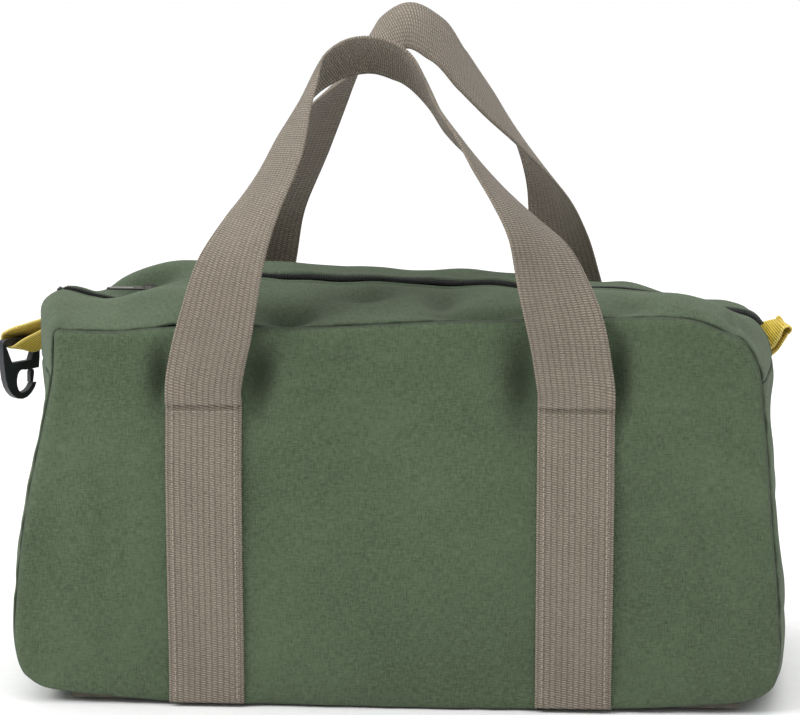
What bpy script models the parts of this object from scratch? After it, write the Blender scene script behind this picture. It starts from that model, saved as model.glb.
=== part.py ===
"""Garden tool bag: a canvas bag with two webbing handles, a zip along the top and a loop at each end.

Metres, +Z up, +X along the bag and -Y to its front. The origin is the middle of the flat base.
"""
import math

import bmesh
import bpy
from mathutils import Vector

# Body of the bag
HALF_DEPTH_BASE = 0.088      # front face at the floor
HALF_DEPTH_TOP = 0.080       # front face at the top seam
TOP_SEAM = 0.195             # height of the front and back top seams
PANEL_TOP = 0.1934           # top edge of the front and back panels
PANEL_BOTTOM = 0.0003
HALF_LENGTH_BASE = 0.1945
HALF_LENGTH_TOP = 0.1765
CORNER_RADIUS = 0.022        # bottom corners of the front and back panels
CANVAS = 0.0016
GAP = 0.0003                 # kept between pieces that touch
SIDE_TOP = 0.1656            # where the side panels meet the zip panels
SIDE_BULGE = 0.011           # how far the middle of a side panel stands out

# Zip panels, which close the top
TOP_HALF_DEPTH = 0.078
CREST = 0.198                # canvas beside the zip
FLAP_HALF_LENGTH = 0.125     # the part of the zip panels that opens
ZIP_SLOT_HALF = 0.0044       # canvas edge beside the zip
SLOT_END = 0.1665

# Zip
TAPE_HALF = 0.014
TAPE_LEVEL = 0.1953
TAPE = 0.0006
COIL_INNER = 0.0006
COIL_OUTER = 0.0036
COIL_TOP = 0.1982
ZIP_CHANNEL_END = 0.160
ZIP_END = 0.166
SLIDER_X = -0.139            # almost closed, on the sewn left end of the zip
PULL_AXIS = 0.2008

# Webbing
WEBBING_HALF = 0.019
WEBBING = 0.0018
STRAP_CENTRES = (-0.0985, 0.0855)
HANDLE_BASE = 0.155          # height of the seam where a strap becomes a handle
HANDLE_AXIS = 0.0842         # fold line of the handles, at the outer face of the straps
STRAP_TOP = 0.1538

# Snap hook on the left loop
LOOP_WEBBING = 0.0014
LOOP_HALF = 0.009
HOOK_BAR = Vector((-0.210, 0.002, 0.172))
HOOK_YAW = math.radians(33)
HOOK_HALF_WIDTH = 0.0138
HOOK_THICKNESS = 0.004
GATE_PIVOT = (0.008, -0.0176)   # along the bar and up from it

FLAP_AXIS = (TOP_HALF_DEPTH - 0.0008, TOP_SEAM)

COLOURS = {
    "canvas": (0.118, 0.160, 0.100),
    "webbing": (0.270, 0.225, 0.175),
    "loop": (0.700, 0.480, 0.030),
    "board": (0.120, 0.110, 0.095),
    "tape": (0.016, 0.018, 0.017),
    "coil": (0.010, 0.012, 0.011),
    "metal": (0.030, 0.030, 0.032),
    "plastic": (0.014, 0.014, 0.018),
}
METALS = {"metal"}


def clear_scene():
    for obj in list(bpy.data.objects):
        bpy.data.objects.remove(obj, do_unlink=True)


def material(kind):
    found = bpy.data.materials.get(kind)
    if found:
        return found
    made = bpy.data.materials.new(kind)
    made.use_nodes = True
    shader = made.node_tree.nodes["Principled BSDF"]
    shader.inputs["Base Color"].default_value = (*COLOURS[kind], 1.0)
    shader.inputs["Roughness"].default_value = 0.35 if kind in METALS else 0.8
    shader.inputs["Metallic"].default_value = 1.0 if kind in METALS else 0.0
    return made


def add(name, points, faces, kind, origin=(0.0, 0.0, 0.0), yaw=0.0):
    """One object whose origin is at origin; points are world points unless the piece is turned by yaw."""
    mesh = bpy.data.meshes.new(name)
    start = Vector(origin) if yaw == 0.0 else Vector()
    mesh.from_pydata([Vector(p) - start for p in points], [], faces)
    mesh.materials.append(material(kind))
    obj = bpy.data.objects.new(name, mesh)
    obj.location = origin
    obj.rotation_euler = (0.0, 0.0, yaw)
    bpy.context.collection.objects.link(obj)
    return obj


def thicken(obj, thickness, offset):
    solidify = obj.modifiers.new("thickness", "SOLIDIFY")
    solidify.thickness = thickness
    solidify.offset = offset
    solidify.use_even_offset = True


def face_towards(obj, facing):
    """Turns the sheet over if its first face looks away from facing."""
    obj.data.update()
    if obj.data.polygons[0].normal.dot(Vector(facing)) < 0.0:
        obj.data.flip_normals()


def smooth(obj, degrees=40):
    obj.data.shade_smooth()
    obj.data.set_sharp_from_angle(angle=math.radians(degrees))


def sheet(name, rows, kind, facing, thickness=CANVAS, offset=-1.0, skip=(), origin=(0.0, 0.0, 0.0)):
    """A grid of points thickened into a piece of cloth; skip names grid cells that are left open."""
    across = len(rows[0])
    faces = []
    for i in range(len(rows) - 1):
        for j in range(across - 1):
            if (i, j) not in skip:
                a = i * across + j
                faces.append((a, a + 1, a + across + 1, a + across))
    obj = add(name, [p for row in rows for p in row], faces, kind, origin)
    face_towards(obj, facing)
    thicken(obj, thickness, offset)
    smooth(obj)
    return obj


def prism(name, outline, low, high, kind, origin=(0.0, 0.0, 0.0), yaw=0.0, upright=False):
    """An outline pushed out from low to high: along Z, or along Y when upright."""
    if upright:
        points = [(u, n, v) for n in (low, high) for u, v in outline]
    else:
        points = [(u, v, n) for n in (low, high) for u, v in outline]
    count = len(outline)
    faces = [tuple(range(count)), tuple(range(count, 2 * count))]
    for i in range(count):
        j = (i + 1) % count
        faces.append((i, j, count + j, count + i))
    obj = add(name, points, faces, kind, origin, yaw)
    shape = bmesh.new()
    shape.from_mesh(obj.data)
    bmesh.ops.recalc_face_normals(shape, faces=shape.faces)
    shape.to_mesh(obj.data)
    shape.free()
    return obj


def rectangle(x0, x1, y0, y1):
    return [(x0, y0), (x1, y0), (x1, y1), (x0, y1)]


def combine(obj, tool, operation):
    """Applies another solid to obj by a Boolean and leaves the tool out of the build."""
    tool.hide_render = True
    tool.display_type = "WIRE"
    boolean = obj.modifiers.new(tool.name, "BOOLEAN")
    boolean.operation = operation
    boolean.object = tool


def between(a, b, t):
    return a + (b - a) * t


def ease(t):
    t = min(max(t, 0.0), 1.0)
    return t * t * (3.0 - 2.0 * t)


def face_depth(z):
    """Distance of the front panel's outer face from the middle of the bag."""
    return between(HALF_DEPTH_BASE, HALF_DEPTH_TOP, z / TOP_SEAM)


def corner_arc(steps=6):
    """The rounded bottom corner at +X, from the base up to the side."""
    centre_x = HALF_LENGTH_BASE - CORNER_RADIUS
    centre_z = PANEL_BOTTOM + CORNER_RADIUS
    turns = [math.pi / 2 * i / steps for i in range(steps + 1)]
    return [(centre_x + CORNER_RADIUS * math.sin(t), centre_z - CORNER_RADIUS * math.cos(t)) for t in turns]


def side_line(z):
    """Half length of the bag at a height above the rounded corner."""
    start = PANEL_BOTTOM + CORNER_RADIUS
    return between(HALF_LENGTH_BASE, HALF_LENGTH_TOP, (z - start) / (TOP_SEAM - start))


def face_panel(name, side):
    """The front (side -1) or back (side 1) panel, a leaning sheet with rounded bottom corners."""
    half = corner_arc() + [(side_line(PANEL_TOP), PANEL_TOP)]
    outline = half + [(-x, z) for x, z in reversed(half)]
    points = [(x, side * face_depth(z), z) for x, z in outline]
    obj = add(name, points, [tuple(range(len(points)))], "canvas")
    face_towards(obj, (0.0, side, 0.0))
    thicken(obj, CANVAS, -1.0)


def gusset_half_depth(z):
    return face_depth(z) - CANVAS - GAP


def bulge(y, z):
    across = y / gusset_half_depth(z)
    return SIDE_BULGE * ease((z - 0.02) / 0.08) * (1.0 - across * across)


ACROSS = [-1.0, -0.72, -0.36, 0.0, 0.36, 0.72, 1.0]


def side_panel(name, side):
    """The end of the bag, from the bottom panel round the corner and up to the zip panels."""
    profile = corner_arc() + [(side_line(z), z) for z in (0.06, 0.10, 0.135, SIDE_TOP)]
    profile[0] = (profile[0][0] + GAP, profile[0][1])
    rows = []
    for x, z in profile:
        depth = gusset_half_depth(z)
        rows.append([(side * (x + bulge(f * depth, z)), f * depth, z) for f in ACROSS])
    sheet(name, rows, "canvas", (0.0, 0.0, -1.0))


def base():
    reach = HALF_LENGTH_BASE - CORNER_RADIUS
    depth = gusset_half_depth(0.0)
    prism("bottom_panel", rectangle(-reach, reach, -depth, depth), 0.0, CANVAS, "canvas")
    board = 0.0025
    low = CANVAS + GAP
    prism("base_board", rectangle(-reach + 0.004, reach - 0.004, -depth + 0.004, depth - 0.004),
          low, low + board, "board")


def flap(name, side):
    """The half of the top between its long seam and the zip that folds open."""
    profile = [(TOP_HALF_DEPTH, TOP_SEAM + 0.0008), (0.055, 0.1970), (0.033, 0.1978),
               (TAPE_HALF + 0.001, CREST), (ZIP_SLOT_HALF, CREST)]
    xs = (-FLAP_HALF_LENGTH, 0.0, FLAP_HALF_LENGTH)
    rows = [[(x, side * y, z) for x in xs] for y, z in profile]
    sheet(name, rows, "canvas", (0.0, 0.0, 1.0), origin=(0.0, side * FLAP_AXIS[0], FLAP_AXIS[1]))


def zip_half(side, word):
    """The zip tape and its coil that open with one flap."""
    origin = (0.0, side * FLAP_AXIS[0], FLAP_AXIS[1])
    reach = FLAP_HALF_LENGTH
    ys = sorted((side * COIL_INNER, side * TAPE_HALF))
    tape = rectangle(-reach, reach, *ys)
    prism("zip_tape_" + word, tape, TAPE_LEVEL, TAPE_LEVEL + TAPE, "tape", origin)
    ys = sorted((side * COIL_INNER, side * COIL_OUTER))
    coil = rectangle(-reach, reach, *ys)
    prism("zip_coil_" + word, coil, TAPE_LEVEL + TAPE + GAP, COIL_TOP, "coil", origin)


def horseshoe(side, inner, outer, start, channel_end, end):
    """A strip on each side of the zip's middle line, joined beyond the end of the channel."""
    return [(side * start, outer), (side * end, outer), (side * end, -outer), (side * start, -outer),
            (side * start, -inner), (side * channel_end, -inner), (side * channel_end, inner),
            (side * start, inner)]


def zip_end(side, word):
    """The sewn end of the zip: both tapes joined, with the last coils and the end stop on them."""
    start = FLAP_HALF_LENGTH + 0.0004
    tape = horseshoe(side, COIL_INNER, TAPE_HALF, start, ZIP_CHANNEL_END, ZIP_END)
    obj = prism("zip_end_" + word, tape, TAPE_LEVEL, TAPE_LEVEL + TAPE, "tape")
    coil = horseshoe(side, COIL_INNER, COIL_OUTER, start, ZIP_CHANNEL_END, ZIP_CHANNEL_END + 0.0025)
    top = prism("zip_end_coil_" + word, coil, TAPE_LEVEL + TAPE / 2, COIL_TOP, "coil")
    combine(obj, top, "UNION")


def top_end(name, side):
    """The sewn ends of the zip panels, over the corner and down to the side panel, open round the zip."""
    start = FLAP_HALF_LENGTH + 0.0004
    crown = [(start, CREST), (SLOT_END, CREST - 0.0002), (0.177, 0.1935), (0.186, 0.1845),
             (side_line(SIDE_TOP) + SIDE_BULGE, SIDE_TOP + 0.0005)]
    edge = [(start, TOP_SEAM + 0.0008), (SLOT_END, TOP_SEAM + 0.0006), (0.1745, 0.1905),
            (0.1785, 0.184), (side_line(SIDE_TOP), SIDE_TOP + 0.0005)]
    fractions = [1.0, 0.7, 0.42, (TAPE_HALF + 0.001) / TOP_HALF_DEPTH, ZIP_SLOT_HALF / TOP_HALF_DEPTH]
    fractions = fractions + [-f for f in reversed(fractions)]
    rows = []
    for i, (top, low) in enumerate(zip(crown, edge)):
        row = []
        for f in fractions:
            rise = 1.0 if abs(f) < 0.2 else 1.0 - ((abs(f) - 0.2) / 0.8) ** 2
            x = between(low[0], top[0], rise)
            z = between(low[1], top[1], rise)
            row.append((side * x, f * TOP_HALF_DEPTH, z))
        rows.append(row)
    middle = len(fractions) // 2 - 1
    sheet(name, rows, "canvas", (0.0, 0.0, 1.0), skip={(0, middle)})


def slider():
    """The zip slider: a plate over the coils, a plate under the tapes and a bridge between them."""
    x = SLIDER_X
    origin = (x, 0.0, COIL_TOP)
    half = 0.0046
    top = prism("zip_slider", rectangle(x - 0.006, x + 0.006, -half, half), COIL_TOP + 0.0004,
                COIL_TOP + 0.0016, "metal", origin)
    bridge = prism("slider_bridge", rectangle(x - 0.005, x - 0.002, -0.0003, 0.0003), COIL_TOP - 0.0042,
                   COIL_TOP + 0.0008, "metal")
    under = prism("slider_under", rectangle(x - 0.006, x + 0.006, -half, half), COIL_TOP - 0.0048,
                  COIL_TOP - 0.0036, "metal")
    foot, arch, peak = COIL_TOP + 0.0012, COIL_TOP + 0.0037, COIL_TOP + 0.0048
    outline = [(x - 0.0038, foot), (x - 0.0038, peak - 0.001), (x - 0.0028, peak), (x + 0.0028, peak),
               (x + 0.0038, peak - 0.001), (x + 0.0038, foot), (x + 0.0026, foot), (x + 0.0026, arch),
               (x - 0.0026, arch), (x - 0.0026, foot)]
    crown = prism("slider_crown", outline, -0.0012, 0.0012, "metal", upright=True)
    for tool in (bridge, under, crown):
        combine(top, tool, "UNION")


def pull_tab():
    """The pull: a flat tab with a window that hangs on the slider's crown, lying towards the left end."""
    x = SLIDER_X
    outer = [(x + 0.0007, -0.0034), (x + 0.0007, 0.0034), (x - 0.020, 0.0034), (x - 0.0225, 0.0020),
             (x - 0.0225, -0.0020), (x - 0.020, -0.0034)]
    origin = (x, 0.0, PULL_AXIS)
    tab = prism("pull_tab", outer, PULL_AXIS - 0.0005, PULL_AXIS + 0.0005, "metal", origin)
    window = prism("pull_window", rectangle(x - 0.0085, x - 0.0005, -0.0022, 0.0022),
                   PULL_AXIS - 0.002, PULL_AXIS + 0.002, "metal")
    combine(tab, window, "DIFFERENCE")


def strap(name, centre, side):
    """The sewn webbing on one face, from the bottom seam up to the foot of the handle."""
    rows = []
    for z in (PANEL_BOTTOM, 0.08, STRAP_TOP):
        y = side * (face_depth(z) + GAP)
        rows.append([(centre - WEBBING_HALF, y, z), (centre + WEBBING_HALF, y, z)])
    sheet(name, rows, "webbing", (0.0, side, 0.0), WEBBING, 1.0)


# Middle of the webbing and the direction from its outer to its inner edge, from left foot to right foot
FRONT_HANDLE = [
    ((-0.0985, -0.0831, 0.155), (1, 0, 0)), ((-0.0965, -0.0865, 0.176), (1, 0, 0)),
    ((-0.091, -0.087, 0.198), (0.98, -0.15, 0.1)), ((-0.0845, -0.081, 0.223), (0.88, -0.4, 0.25)),
    ((-0.076, -0.069, 0.247), (0.7, -0.62, 0.35)), ((-0.065, -0.053, 0.271), (0.5, -0.77, 0.4)),
    ((-0.054, -0.037, 0.297), (0.25, -0.87, 0.43)), ((-0.043, -0.026, 0.312), (0.12, -0.87, 0.48)),
    ((-0.030, -0.022, 0.321), (0.03, -0.86, 0.51)), ((-0.018, -0.0215, 0.3235), (0.03, -0.86, 0.51)),
    ((-0.005, -0.022, 0.318), (0.02, -0.85, 0.53)), ((0.0085, -0.025, 0.304), (-0.03, -0.9, 0.44)),
    ((0.017, -0.033, 0.292), (-0.1, -0.9, 0.42)), ((0.027, -0.043, 0.280), (-0.22, -0.87, 0.43)),
    ((0.040, -0.055, 0.264), (-0.42, -0.8, 0.4)), ((0.054, -0.067, 0.249), (-0.6, -0.7, 0.35)),
    ((0.067, -0.077, 0.232), (-0.8, -0.5, 0.28)), ((0.075, -0.084, 0.211), (-0.9, -0.3, 0.15)),
    ((0.081, -0.087, 0.190), (-0.97, -0.1, 0.05)), ((0.084, -0.0865, 0.173), (-1, 0, 0)),
    ((0.0855, -0.0831, 0.155), (-1, 0, 0)),
]
BACK_HANDLE = [
    ((-0.0985, 0.0831, 0.155), (1, 0, 0)), ((-0.095, 0.0865, 0.180), (1, 0, 0)),
    ((-0.087, 0.083, 0.207), (0.97, 0.2, 0.05)), ((-0.079, 0.076, 0.229), (0.85, 0.45, 0.2)),
    ((-0.068, 0.066, 0.250), (0.7, 0.62, 0.35)), ((-0.058, 0.055, 0.272), (0.5, 0.76, 0.4)),
    ((-0.047, 0.043, 0.294), (0.3, 0.84, 0.45)), ((-0.035, 0.032, 0.316), (0.12, 0.86, 0.5)),
    ((-0.020, 0.0225, 0.334), (0, 0.85, 0.52)), ((-0.002, 0.020, 0.341), (0, 0.86, 0.5)),
    ((0.014, 0.022, 0.334), (0, 0.86, 0.5)), ((0.028, 0.027, 0.316), (-0.02, 0.87, 0.48)),
    ((0.040, 0.035, 0.299), (-0.1, 0.88, 0.45)), ((0.052, 0.044, 0.282), (-0.25, 0.86, 0.43)),
    ((0.064, 0.055, 0.263), (-0.45, 0.8, 0.38)), ((0.075, 0.066, 0.243), (-0.68, 0.67, 0.28)),
    ((0.082, 0.075, 0.224), (-0.85, 0.45, 0.2)), ((0.086, 0.082, 0.203), (-0.95, 0.25, 0.08)),
    ((0.0875, 0.0858, 0.180), (-1, 0, 0)), ((0.0855, 0.0831, 0.155), (-1, 0, 0)),
]


def spline(points, steps=3):
    """Points along a smooth curve that passes through all of points."""
    found = []
    last = len(points) - 1
    for i in range(last):
        a, b, c, d = (Vector(points[min(max(k, 0), last)]) for k in (i - 1, i, i + 1, i + 2))
        for s in range(steps):
            t = s / steps
            found.append(0.5 * (2 * b + (c - a) * t + (2 * a - 5 * b + 4 * c - d) * t ** 2
                                + (3 * b - a - 3 * c + d) * t ** 3))
    return found + [Vector(points[-1])]


def band(name, stations, half, thickness, kind, facing, origin=(0.0, 0.0, 0.0)):
    """A strip of webbing that follows stations, each a middle point and the direction across."""
    middles = spline([p for p, across in stations])
    acrosses = spline([across for p, across in stations])
    rows = [[m - a.normalized() * half, m, m + a.normalized() * half] for m, a in zip(middles, acrosses)]
    sheet(name, rows, kind, facing, thickness, 0.0, origin=origin)


def handle(name, stations, side):
    band(name, stations, WEBBING_HALF, WEBBING, "webbing", (0.0, side, 0.0),
         (0.0, side * HANDLE_AXIS, HANDLE_BASE))


def left_loop():
    """Yellow webbing from the end seam round the bar of the snap hook and back."""
    across = (math.sin(HOOK_YAW), math.cos(HOOK_YAW), 0.0)
    out = Vector((-math.cos(HOOK_YAW), math.sin(HOOK_YAW), 0.0))
    up = Vector((0.0, 0.0, 1.0))
    radius = 0.0041
    stations = [((-0.1915, 0.0, 0.1805), (0, 1, 0)), ((-0.200, 0.001, 0.1790), (0.3, 0.95, 0))]
    for degrees in (75, 45, 0, -45, -90):
        turn = math.radians(degrees)
        stations.append((HOOK_BAR + (out * math.cos(turn) + up * math.sin(turn)) * radius, across))
    stations += [((-0.2015, 0.0005, 0.1700), (0.35, 0.93, 0)), ((-0.1925, 0.0, 0.1735), (0, 1, 0))]
    band("yellow_loop_left", stations, LOOP_HALF, LOOP_WEBBING, "loop", (0.0, 0.0, 1.0))


def right_loop():
    """The same webbing at the right end, folded and empty, standing up a little."""
    stations = [((0.1915, 0.0, 0.1805), (0, -1, 0)), ((0.1965, -0.0005, 0.1818), (0.25, -0.97, 0)),
                ((0.2010, -0.0012, 0.1820), (0.42, -0.9, 0)), ((0.2038, -0.0018, 0.1795), (0.45, -0.88, 0)),
                ((0.2032, -0.0020, 0.1765), (0.45, -0.88, 0)), ((0.1985, -0.0012, 0.1735), (0.35, -0.93, 0)),
                ((0.1920, 0.0, 0.1710), (0, -1, 0))]
    band("yellow_loop_right", stations, LOOP_HALF, LOOP_WEBBING, "loop", (0.0, 0.0, 1.0))


def hook_outline():
    """Outer edge of the snap hook: straight shoulders that taper into a round nose."""
    half = HOOK_HALF_WIDTH
    right = [(half - 0.003, 0.002), (half - 0.0008, 0.0012), (half, -0.001), (half - 0.0004, -0.010)]
    for degrees in range(15, 91, 15):
        turn = math.radians(degrees)
        right.append(((half - 0.0012) * math.cos(turn), -0.0150 - 0.0165 * math.sin(turn)))
    return right + [(-u, v) for u, v in reversed(right[:-1])]


def snap_hook():
    """Plastic hook that turns on its top bar inside the webbing, with the gate gap in its far arm."""
    half = HOOK_THICKNESS / 2
    bar = HOOK_BAR
    turned = math.pi / 2 - HOOK_YAW
    hook = prism("snap_hook_body", hook_outline(), -half, half, "plastic", bar, turned, upright=True)
    slot = prism("hook_slot", rectangle(-0.0111, 0.0111, -0.0118, -0.0018),
                 -0.004, 0.004, "plastic", bar, turned, upright=True)
    eye = []
    for degrees in range(0, 360, 20):
        turn = math.radians(degrees)
        eye.append((0.0078 * math.cos(turn), -0.0218 + 0.0062 * math.sin(turn)))
    ring = prism("hook_eye", eye, -0.004, 0.004, "plastic", bar, turned, upright=True)
    opening = prism("hook_mouth", [(0.002, -0.0160), (0.016, -0.0160), (0.016, -0.0236), (0.002, -0.0236)],
                    -0.004, 0.004, "plastic", bar, turned, upright=True)
    for tool in (slot, ring, opening):
        combine(hook, tool, "DIFFERENCE")
    gate = [(0.0066, -0.0180), (0.0070, -0.0168), (0.0076, -0.0163), (0.0090, -0.0163), (0.0096, -0.0180),
            (0.0086, -0.0233), (0.0064, -0.0233)]
    along, up = GATE_PIVOT
    pivot = bar + Vector((along * math.sin(HOOK_YAW), along * math.cos(HOOK_YAW), up))
    prism("snap_hook_gate", [(u - along, v - up) for u, v in gate], -0.0014, 0.0014, "plastic", pivot, turned,
          upright=True)


def main():
    clear_scene()
    for side, word in ((-1, "front"), (1, "back")):
        face_panel(word + "_panel", side)
        flap("zip_panel_" + word, side)
        zip_half(side, word)
        for centre, end in zip(STRAP_CENTRES, ("left", "right")):
            strap("strap_{}_{}".format(word, end), centre, side)
    for side, word in ((-1, "left"), (1, "right")):
        side_panel("side_panel_" + word, side)
        top_end("zip_panel_end_" + word, side)
        zip_end(side, word)
    base()
    handle("front_handle", FRONT_HANDLE, -1)
    handle("back_handle", BACK_HANDLE, 1)
    slider()
    pull_tab()
    left_loop()
    right_loop()
    snap_hook()


main()
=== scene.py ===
"""Looks of the garden tool bag: canvas, webbing, zip, loops and snap hook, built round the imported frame.

Metres, +Z up, +X along the bag and -Y to its front, as in the frame.
"""
import math

import bmesh
import bpy
import numpy as np
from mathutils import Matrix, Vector, noise


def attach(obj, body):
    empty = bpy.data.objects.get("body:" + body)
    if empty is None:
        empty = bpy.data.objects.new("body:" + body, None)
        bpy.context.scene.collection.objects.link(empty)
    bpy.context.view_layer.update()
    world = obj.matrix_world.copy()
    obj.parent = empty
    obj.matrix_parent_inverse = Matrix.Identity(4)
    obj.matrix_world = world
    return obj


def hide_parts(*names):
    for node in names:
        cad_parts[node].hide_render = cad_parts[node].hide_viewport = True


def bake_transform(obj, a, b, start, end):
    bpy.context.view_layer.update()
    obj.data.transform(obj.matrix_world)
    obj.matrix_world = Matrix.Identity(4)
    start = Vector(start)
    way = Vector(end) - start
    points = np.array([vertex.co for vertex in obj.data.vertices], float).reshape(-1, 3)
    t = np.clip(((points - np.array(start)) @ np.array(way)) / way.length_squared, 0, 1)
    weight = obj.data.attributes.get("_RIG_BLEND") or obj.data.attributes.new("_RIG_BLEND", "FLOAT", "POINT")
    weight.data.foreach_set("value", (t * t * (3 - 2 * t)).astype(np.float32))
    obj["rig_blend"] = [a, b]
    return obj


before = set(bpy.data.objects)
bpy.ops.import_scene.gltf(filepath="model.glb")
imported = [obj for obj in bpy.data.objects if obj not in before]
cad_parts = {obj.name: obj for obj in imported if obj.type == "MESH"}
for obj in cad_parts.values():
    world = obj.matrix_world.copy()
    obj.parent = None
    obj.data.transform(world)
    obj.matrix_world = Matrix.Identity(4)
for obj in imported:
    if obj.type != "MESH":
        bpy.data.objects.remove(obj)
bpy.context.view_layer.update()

MM = 0.001

# Canvas body
CANVAS = 0.0016
BAG_MIDDLE = np.array([0.0, 0.0, 0.09])
FLOOR_HALF_DEPTH = 0.088
NARROWS = 0.008              # how much less that half depth is at the top seam
SEAM_INSET = 0.0034          # how far the sewn edges sit inside the faces of the bag
ROLL = 0.0055                # width over which a face curves in to its seam
PILLOW = 0.0044              # how far the middle of a face stands out
SWELL = 0.0016               # how far the belt rises from its seams
SEAM_SHADE = 0.0025           # reach of the painted shade along a seam
TOP_SEAM_Y = 0.0772          # where the opening halves of the top fold
TOP_SEAM_Z = 0.195
BEND_WIDTH = 0.016           # canvas beside that fold that bends
TOP_HALF_DEPTH = 0.079
TOP_STARTS = 0.172           # height above which the belt is the top of the bag
FLAP_HALF_LENGTH = 0.125
SEWN_END = 0.165             # beyond this the top stays with the bag
ZIP_EDGE = 0.068             # share of the half depth at which the canvas is folded under beside the zip
ZIP_STITCH = 0.0048          # from that folded edge to the row of stitches
ZIP_TILT = 0.0016            # how much the zip leans to the front where it does
ZIP_REACH = 0.009            # half width of that lean
ZIP_LEANS = ((-0.078, 0.066, 1.0), (-0.2, -0.152, 1.0), (0.142, 0.19, 1.6))   # from x, to x, share
FRONT_LIP = 0.0016           # the front canvas stands up beside the zip near the left end
LIP_FROM, LIP_TO = -0.150, -0.079
LIP_Y, LIP_WIDTH = -0.0095, 0.0045

# Folds of the cloth, and small puckers close beside its seams: height, width and a seed for the noise
TOP_RIPPLES = ((0.0028, 0.060, 3.1), (0.0016, 0.024, 7.7))
TOP_PUCKER = (0.0011, 0.009, 11.3)
FACE_RIPPLES = ((0.0026, 0.085, 1.3), (0.0009, 0.030, 5.9))
FACE_PUCKER = (0.0012, 0.010, 2.2)

# Hollows in the top, beside the legs of the handles and at the folded ends: (x, y), width, height, depth
TOP_DENTS = [
    ((-0.058, -0.062), 0.012, 0.011, 0.0080), ((-0.020, -0.036), 0.013, 0.012, 0.0042),
    ((0.019, -0.044), 0.008, 0.016, 0.0046), ((0.044, -0.069), 0.030, 0.006, 0.0042),
    ((0.112, -0.066), 0.012, 0.009, 0.0030), ((-0.133, -0.050), 0.014, 0.020, 0.0016),
    ((-0.143, 0.022), 0.018, 0.013, 0.0086), ((0.163, -0.058), 0.004, 0.014, 0.0030),
    ((0.171, -0.052), 0.004, 0.014, 0.0026), ((0.150, 0.040), 0.016, 0.016, 0.0020),
    ((-0.060, 0.060), 0.018, 0.012, 0.0024), ((0.070, 0.058), 0.016, 0.014, 0.0026),
]
# Hollows in the front face, and turned round in the back: (x, z), width, height, depth
FACE_DENTS = [
    ((-0.0725, 0.169), 0.009, 0.016, 0.0080), ((0.0600, 0.166), 0.009, 0.022, 0.0078),
    ((0.1045, 0.170), 0.006, 0.020, 0.0072), ((-0.1195, 0.167), 0.006, 0.016, 0.0066),
    ((-0.010, 0.120), 0.050, 0.045, 0.0012), ((-0.138, 0.095), 0.004, 0.040, 0.0010),
    ((-0.149, 0.080), 0.005, 0.045, 0.0008), ((0.150, 0.100), 0.026, 0.050, 0.0010),
]

# Webbing
WEBBING_HALF = 0.019
WEBBING_RIBS = 13
WEBBING = 0.0018
RIB = WEBBING_HALF * 2 / WEBBING_RIBS
STRAP_CENTRES = (-0.0985, 0.0855)
HANDLE_BASE = 0.155
STITCH_INSET = 0.0034        # from the selvedge to a row of stitches
CROSS_STITCH = 0.0045        # from the handle's base down to the row across the strap

# The belt is the strip of canvas that runs round the bag between its two faces, in millimetres. On top,
# each column gives x and the heights of the front seam, front middle, zip line, back middle and back seam.
TOP_COLUMNS = [
    (-168, 189.6, 196.4, 194.6, 194.6, 186.0), (-160, 189.4, 196.0, 192.8, 199.2, 189.0),
    (-149, 189.2, 197.4, 193.9, 204.2, 194.6), (-140, 189.4, 200.0, 196.8, 207.0, 198.2),
    (-127, 190.8, 202.2, 199.8, 209.0, 200.4), (-112, 192.0, 202.0, 203.0, 209.4, 201.0),
    (-95, 192.0, 201.8, 206.0, 209.4, 200.9), (-71, 191.9, 201.0, 207.8, 209.8, 200.6),
    (-45, 192.1, 200.6, 205.4, 209.4, 199.2), (-12, 193.8, 201.2, 204.2, 208.0, 197.2),
    (15, 195.4, 201.6, 203.4, 206.6, 195.6), (45, 196.3, 202.2, 202.0, 204.4, 194.0),
    (75, 197.0, 202.8, 201.2, 201.6, 191.6), (98, 197.7, 203.2, 200.4, 200.0, 190.0),
    (115, 198.2, 203.6, 198.4, 199.6, 189.4), (130, 198.5, 203.4, 196.8, 194.6, 186.5),
    (145, 196.5, 201.8, 193.8, 192.6, 183.6), (157, 191.8, 197.8, 190.6, 192.2, 181.8),
]
# Round the ends and under the base, each column gives (x, z) for the same five rows.
RIGHT_CORNER = [
    ((167.6, 186.8), (167.5, 193.0), (168.0, 189.4), (168.5, 190.6), (167.5, 179.6)),
    ((172.3, 179.8), (174.5, 188.2), (176.5, 186.6), (176.5, 186.8), (172.5, 175.5)),
    ((175.2, 172.4), (180.4, 178.8), (183.6, 179.6), (181.8, 179.0), (175.2, 170.5)),
]
RIGHT_END = [
    ((176.2, 166.4), (183.2, 167.4), (186.8, 168.6), (184.0, 167.5), (176.6, 163.5)),
    ((177.6, 152), (183.0, 151), (185.6, 150), (184.2, 150), (178.4, 148)),
    ((179.6, 133), (184.6, 131), (187.4, 130), (186.0, 130), (180.6, 128)),
    ((182.7, 97), (187.6, 96), (190.6, 95), (189.4, 95), (184.4, 95)),
    ((185.2, 72), (190.0, 69), (192.8, 67), (191.6, 67), (187.0, 66)),
    ((187.1, 48), (192.4, 44), (195.4, 42), (193.4, 42), (189.2, 40)),
    ((187.8, 26), (194.2, 23), (197.4, 20), (194.0, 21), (189.4, 20)),
    ((185.6, 15), (191.6, 9.6), (194.2, 7.5), (191.4, 8.5), (186.5, 9.5)),
    ((180.2, 9.6), (184.0, 3.4), (185.6, 1.8), (183.6, 2.2), (180, 3.6)),
]
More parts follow.
